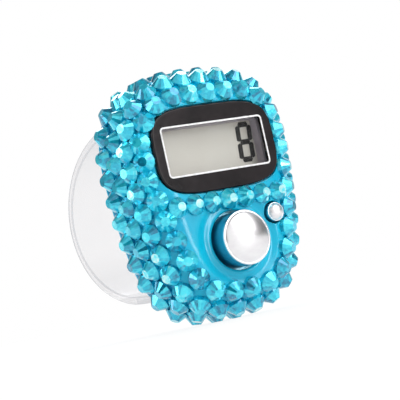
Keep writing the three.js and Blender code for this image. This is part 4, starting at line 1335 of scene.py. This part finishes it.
# %% Holder, foam, silicone and small parts
SOFT_LIGHT = {"Subsurface_Weight": 0.1, "Subsurface_Radius": (0.001, 0.0008, 0.0006)}
GRAINED = [  # name, light, dark, roughness, patches mm, grain mm, depth mm, constants, nodes
    # The holder's grey is paler than its own dark plastic: painted light for its wall, which lies
    # in shade behind the window.
    ("grey_holder_plastic", (186, 178, 186), (166, 158, 166), 0.5, 3.0, 0.15, 0.01, {},
     ["lcd_frame"]),
    ("black_foam", (52, 52, 52), (30, 30, 30), 0.9, 0.6, 0.22, 0.12, {}, ["lcd_cushion"]),
    ("white_silicone", (232, 232, 226), (214, 214, 206), 0.6, 2.0, 0.2, 0.008, SOFT_LIGHT,
     ["count_dome", "reset_dome"]),
    ("ivory_plastic", (240, 234, 216), (226, 218, 196), 0.5, 3.0, 0.18, 0.01, {},
     ["cell_holder"]),
    ("tan_ceramic", (172, 138, 98), (146, 112, 76), 0.5, 0.5, 0.06, 0.006, {}, ["capacitor"]),
    ("black_ceramic", (40, 40, 40), (24, 24, 24), 0.4, 0.5, 0.06, 0.006, {}, ["resistor"]),
    ("black_resin", (30, 30, 30), (18, 18, 18), 0.3, 1.2, 0.4, 0.03, {"Coat_Weight": 0.4},
     ["covered_chip"]),
]

for name, pale, deep, roughness, patch, grain_size, depth, constants, nodes in GRAINED:
    finish = Finish(name, pale, roughness, **constants)
    finish.colour(finish.noise(patch, detail=3.0).between(0.3, 0.7), pale, deep)
    fine = finish.noise(grain_size)
    finish.set("Roughness", fine * 0.2 + (roughness - 0.1))
    finish.bump(fine, depth)
    dress(finish, *nodes)

# %% [markdown]
# ## Contact strip and circuit board
# The strip is rubber with fine conducting stripes across it, which a wave texture
# draws. The board is green lacquer over copper tracks. The tracks show as
# slightly raised, paler lines; a brick pattern has about their rhythm.

# %% Striped strip and board
rubber = Finish("striped_rubber", (222, 160, 170), 0.6)
waves = rubber.node("ShaderNodeTexWave", {"wave_type": "BANDS", "bands_direction": "X"},
                    {"Vector": rubber.stretched(1.0, 0.0, 0.0), "Scale": 1400.0})
stripes = waves.between(0.35, 0.65)
rubber.colour(stripes, (222, 160, 170), (30, 28, 30))
rubber.set("Roughness", stripes * 0.2 + 0.5)
rubber.bump(stripes, 0.01)
dress(rubber, "contact_strip")

board = Finish("green_board", (38, 108, 58), 0.35, Coat_Weight=0.3, Coat_Roughness=0.2)
tracks = board.node(
    "ShaderNodeTexBrick", {"offset": 0.35, "squash": 1.6, "squash_frequency": 3},
    {"Vector": board.stretched(1, 0, 1), "Scale": 420.0, "Mortar Size": 0.018}, output="Fac",
)
weave = board.noise(0.3)
lacquer = board.mix(weave.between(0.3, 0.7), (34, 98, 52), (44, 116, 64))
board.colour(tracks, lacquer, (92, 150, 88))
board.set("Roughness", weave * 0.15 + 0.28)
board.bump(tracks + weave * 0.2, 0.02)
dress(board, "circuit_board")

# %% [markdown]
# ## Metals
# The caps are bright plating over plastic, nearly flawless, with light wipe
# marks. On each cap's skirt, below its rim, a darker blue-grey is painted:
# painted shade with a painted reflection of the blue round it. A perfect
# mirror would show the room too sharply, so the plating is a little rough.

# %% Plated caps
def bright_plating(name, skirt_shade_from, roughness):
    """Satin chrome, with painted shade and a painted blue reflection from a given depth on."""
    finish = Finish(name, (248, 248, 249), roughness, Metallic=1.0)
    wipes = finish.noise(1.8, detail=3.0, place=finish.stretched(1.0, 1.0, 2.4))
    marks = finish.scratches(1.5, 0.25)
    plating = finish.mix(wipes.between(0.3, 0.8), (243, 242, 243), (233, 230, 233))
    # Painted shade and a painted blue reflection on the skirt below the rim.
    skirt_shade = finish.inward().between(skirt_shade_from, skirt_shade_from + 0.3)
    finish.colour(skirt_shade, plating, (132, 182, 198))
    finish.set("Roughness", wipes.between(0.3, 0.9) * 0.05 + marks * 0.06 + (roughness - 0.02))
    finish.bump(wipes, 0.0002)
    return finish


dress(bright_plating("count_plating", -2.2, 0.3), count_button)
dress(bright_plating("reset_plating", -0.3, 0.36), reset_button)

# %% [markdown]
# The cell is brushed steel, the contacts are brass that has begun to tarnish, the
# foil is dull, and the screws are plain steel with tool marks. Noise stretched
# one way makes the marks.

# %% Steel, brass and foil
BRUSHED = [  # name, bright, dull, roughness, stretch of the marks, what wears it
    ("screw_steel", (198, 200, 204), (150, 152, 156), 0.32, (1, 4, 1),
     [*cover_screws, "board_screw_1", "board_screw_2", "board_screw_3"]),
    ("cell_steel", (206, 207, 210), (178, 179, 184), 0.3, (6, 1, 1), ["button_cell"]),
    ("contact_brass", (220, 196, 128), (176, 146, 84), 0.35, (1, 1, 6),
     ["back_contact", "front_contact"]),
    ("dull_foil", (196, 196, 188), (170, 170, 160), 0.45, (4, 1, 1), ["lcd_reflector"]),
]

for name, bright, dull, roughness, stretch, pieces in BRUSHED:
    finish = Finish(name, bright, roughness, Metallic=1.0)
    marks = finish.noise(0.22, detail=3.0, place=finish.stretched(*stretch))
    patches = finish.noise(2.5, detail=3.0)
    finish.colour(patches.between(0.4, 0.75), bright, dull)
    finish.set("Roughness", marks * 0.2 + patches * 0.15 + (roughness - 0.15))
    finish.bump(marks, 0.004)
    dress(finish, *pieces)

# %% [markdown]
# ## Floor and background
# The counter stands on a white floor before a white background. Where the camera,
# or a reflection, looks past the object, the world is plain white. Brighter lamps
# would wash out the blue, so the floor is partly lit and partly white by itself,
# and it keeps a soft shadow.

# %% Floor
FLOOR_OWN_LIGHT = 0.8
FLOOR_GLOW = 1.05
SHADOW_REACH = 0.09
FLOOR_GAP = 0.02

clear()
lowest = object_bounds()[0].z
bpy.ops.mesh.primitive_plane_add(size=6.0, location=(0, 0, lowest - FLOOR_GAP * MM))
floor = bpy.context.object
floor.name = "floor"

paper = Finish("white_floor", (255, 255, 255), 0.6)
paper.set("Base Color", (0.9, 0.9, 0.9, 1))
white = paper.node("ShaderNodeEmission", None, {"Color": (1, 1, 1, 1), "Strength": FLOOR_GLOW})
seen = paper.ray("Camera").most(paper.ray("Transmission")).most(paper.ray("Glossy"))
far = paper.node("ShaderNodeVectorMath", {"operation": "LENGTH"}, {0: paper.place()},
                 output="Value")
away = far.between(SHADOW_REACH, 3 * SHADOW_REACH)
paper.surface(seen * (away * (1 - FLOOR_OWN_LIGHT) + FLOOR_OWN_LIGHT), paper.plain, white)
floor.data.materials.append(paper.material)
print("floor at, mm:", round(floor.location.z / MM, 2))

# %% [markdown]
# The room itself is what the polished stones and the plated buttons show. Most of
# it is white. It is darker straight above, to the far right, behind, and round
# the place where the photographer stands, and that gives the facets their dark
# sides. Black cards round the object would do the same, but would also show.

# %% The room
WORLD_LIGHT = 0.46
DARK_PLACES = [  # direction, half its angle in degrees, how dark
    ((-0.829, -0.559, 0.1), 25, 0.95),
    ((0.0, 0.0, 1.0), 60, 0.8),
    ((0.98, -0.17, 0.0), 52, 0.85),
    ((-0.4, 0.9, 0.25), 50, 0.8),
]

world = bpy.data.worlds.new("studio")
world.use_nodes = True
bpy.context.scene.world = world
room = Nodes(world.node_tree)
towards = room.node("ShaderNodeTexCoord", output="Generated")
shown = 1.0
for direction, width, darkness in DARK_PLACES:
    aligned = room.node("ShaderNodeVectorMath", {"operation": "DOT_PRODUCT"},
                        {0: towards, 1: Vector(direction).normalized()}, output="Value")
    rim, core = math.cos(math.radians(width)), math.cos(math.radians(width / 3))
    shown = shown - aligned.between(rim, core) * darkness
glossy = room.ray("Glossy")
seen = room.ray("Camera").most(room.ray("Transmission"))
unseen = (1 - seen) * (glossy * shown + (1 - glossy) * WORLD_LIGHT)
background = world.node_tree.nodes["Background"]
background.inputs["Color"].default_value = (1, 1, 1, 1)
room.feed(background.inputs["Strength"], seen + unseen)
print("the room's light on the object:", WORLD_LIGHT)

# %% [markdown]
# ## Lamps
# Soft lamps light the counter as in a small studio: one from the left, one from the
# front right, a narrow strip in front, and a weaker one from behind. One large
# lamp would leave the facets without sparkle.

# %% Lamps
LAMP_DISTANCE = 0.5
LAMPS = [  # name, azimuth (0 in front, 90 to the right), elevation, width, height, watts
    ("left_lamp", -104, 9, 0.4, 0.4, 1.45),
    ("front_lamp", 28, 36, 0.42, 0.42, 1.3),
    ("strip_lamp", 20, 5, 0.1, 0.22, 0.62),
    ("back_lamp", 150, 45, 0.3, 0.3, 0.8),
]

for name, azimuth, elevation, width, height, watts in LAMPS:
    turn, rise = math.radians(azimuth), math.radians(elevation)
    flat = math.cos(rise)
    way = Vector((math.sin(turn) * flat, -math.cos(turn) * flat, math.sin(rise)))
    data = bpy.data.lights.new(name, "AREA")
    data.shape = "RECTANGLE"
    data.size, data.size_y = width, height
    data.energy = watts
    lamp = bpy.data.objects.new(name, data)
    lamp.location = way * LAMP_DISTANCE
    lamp.rotation_mode = "QUATERNION"
    lamp.rotation_quaternion = (-way).to_track_quat("-Z", "Y")
    bpy.context.scene.collection.objects.link(lamp)
bpy.context.scene.view_settings.view_transform = "Standard"
print("lamps:", len(LAMPS))
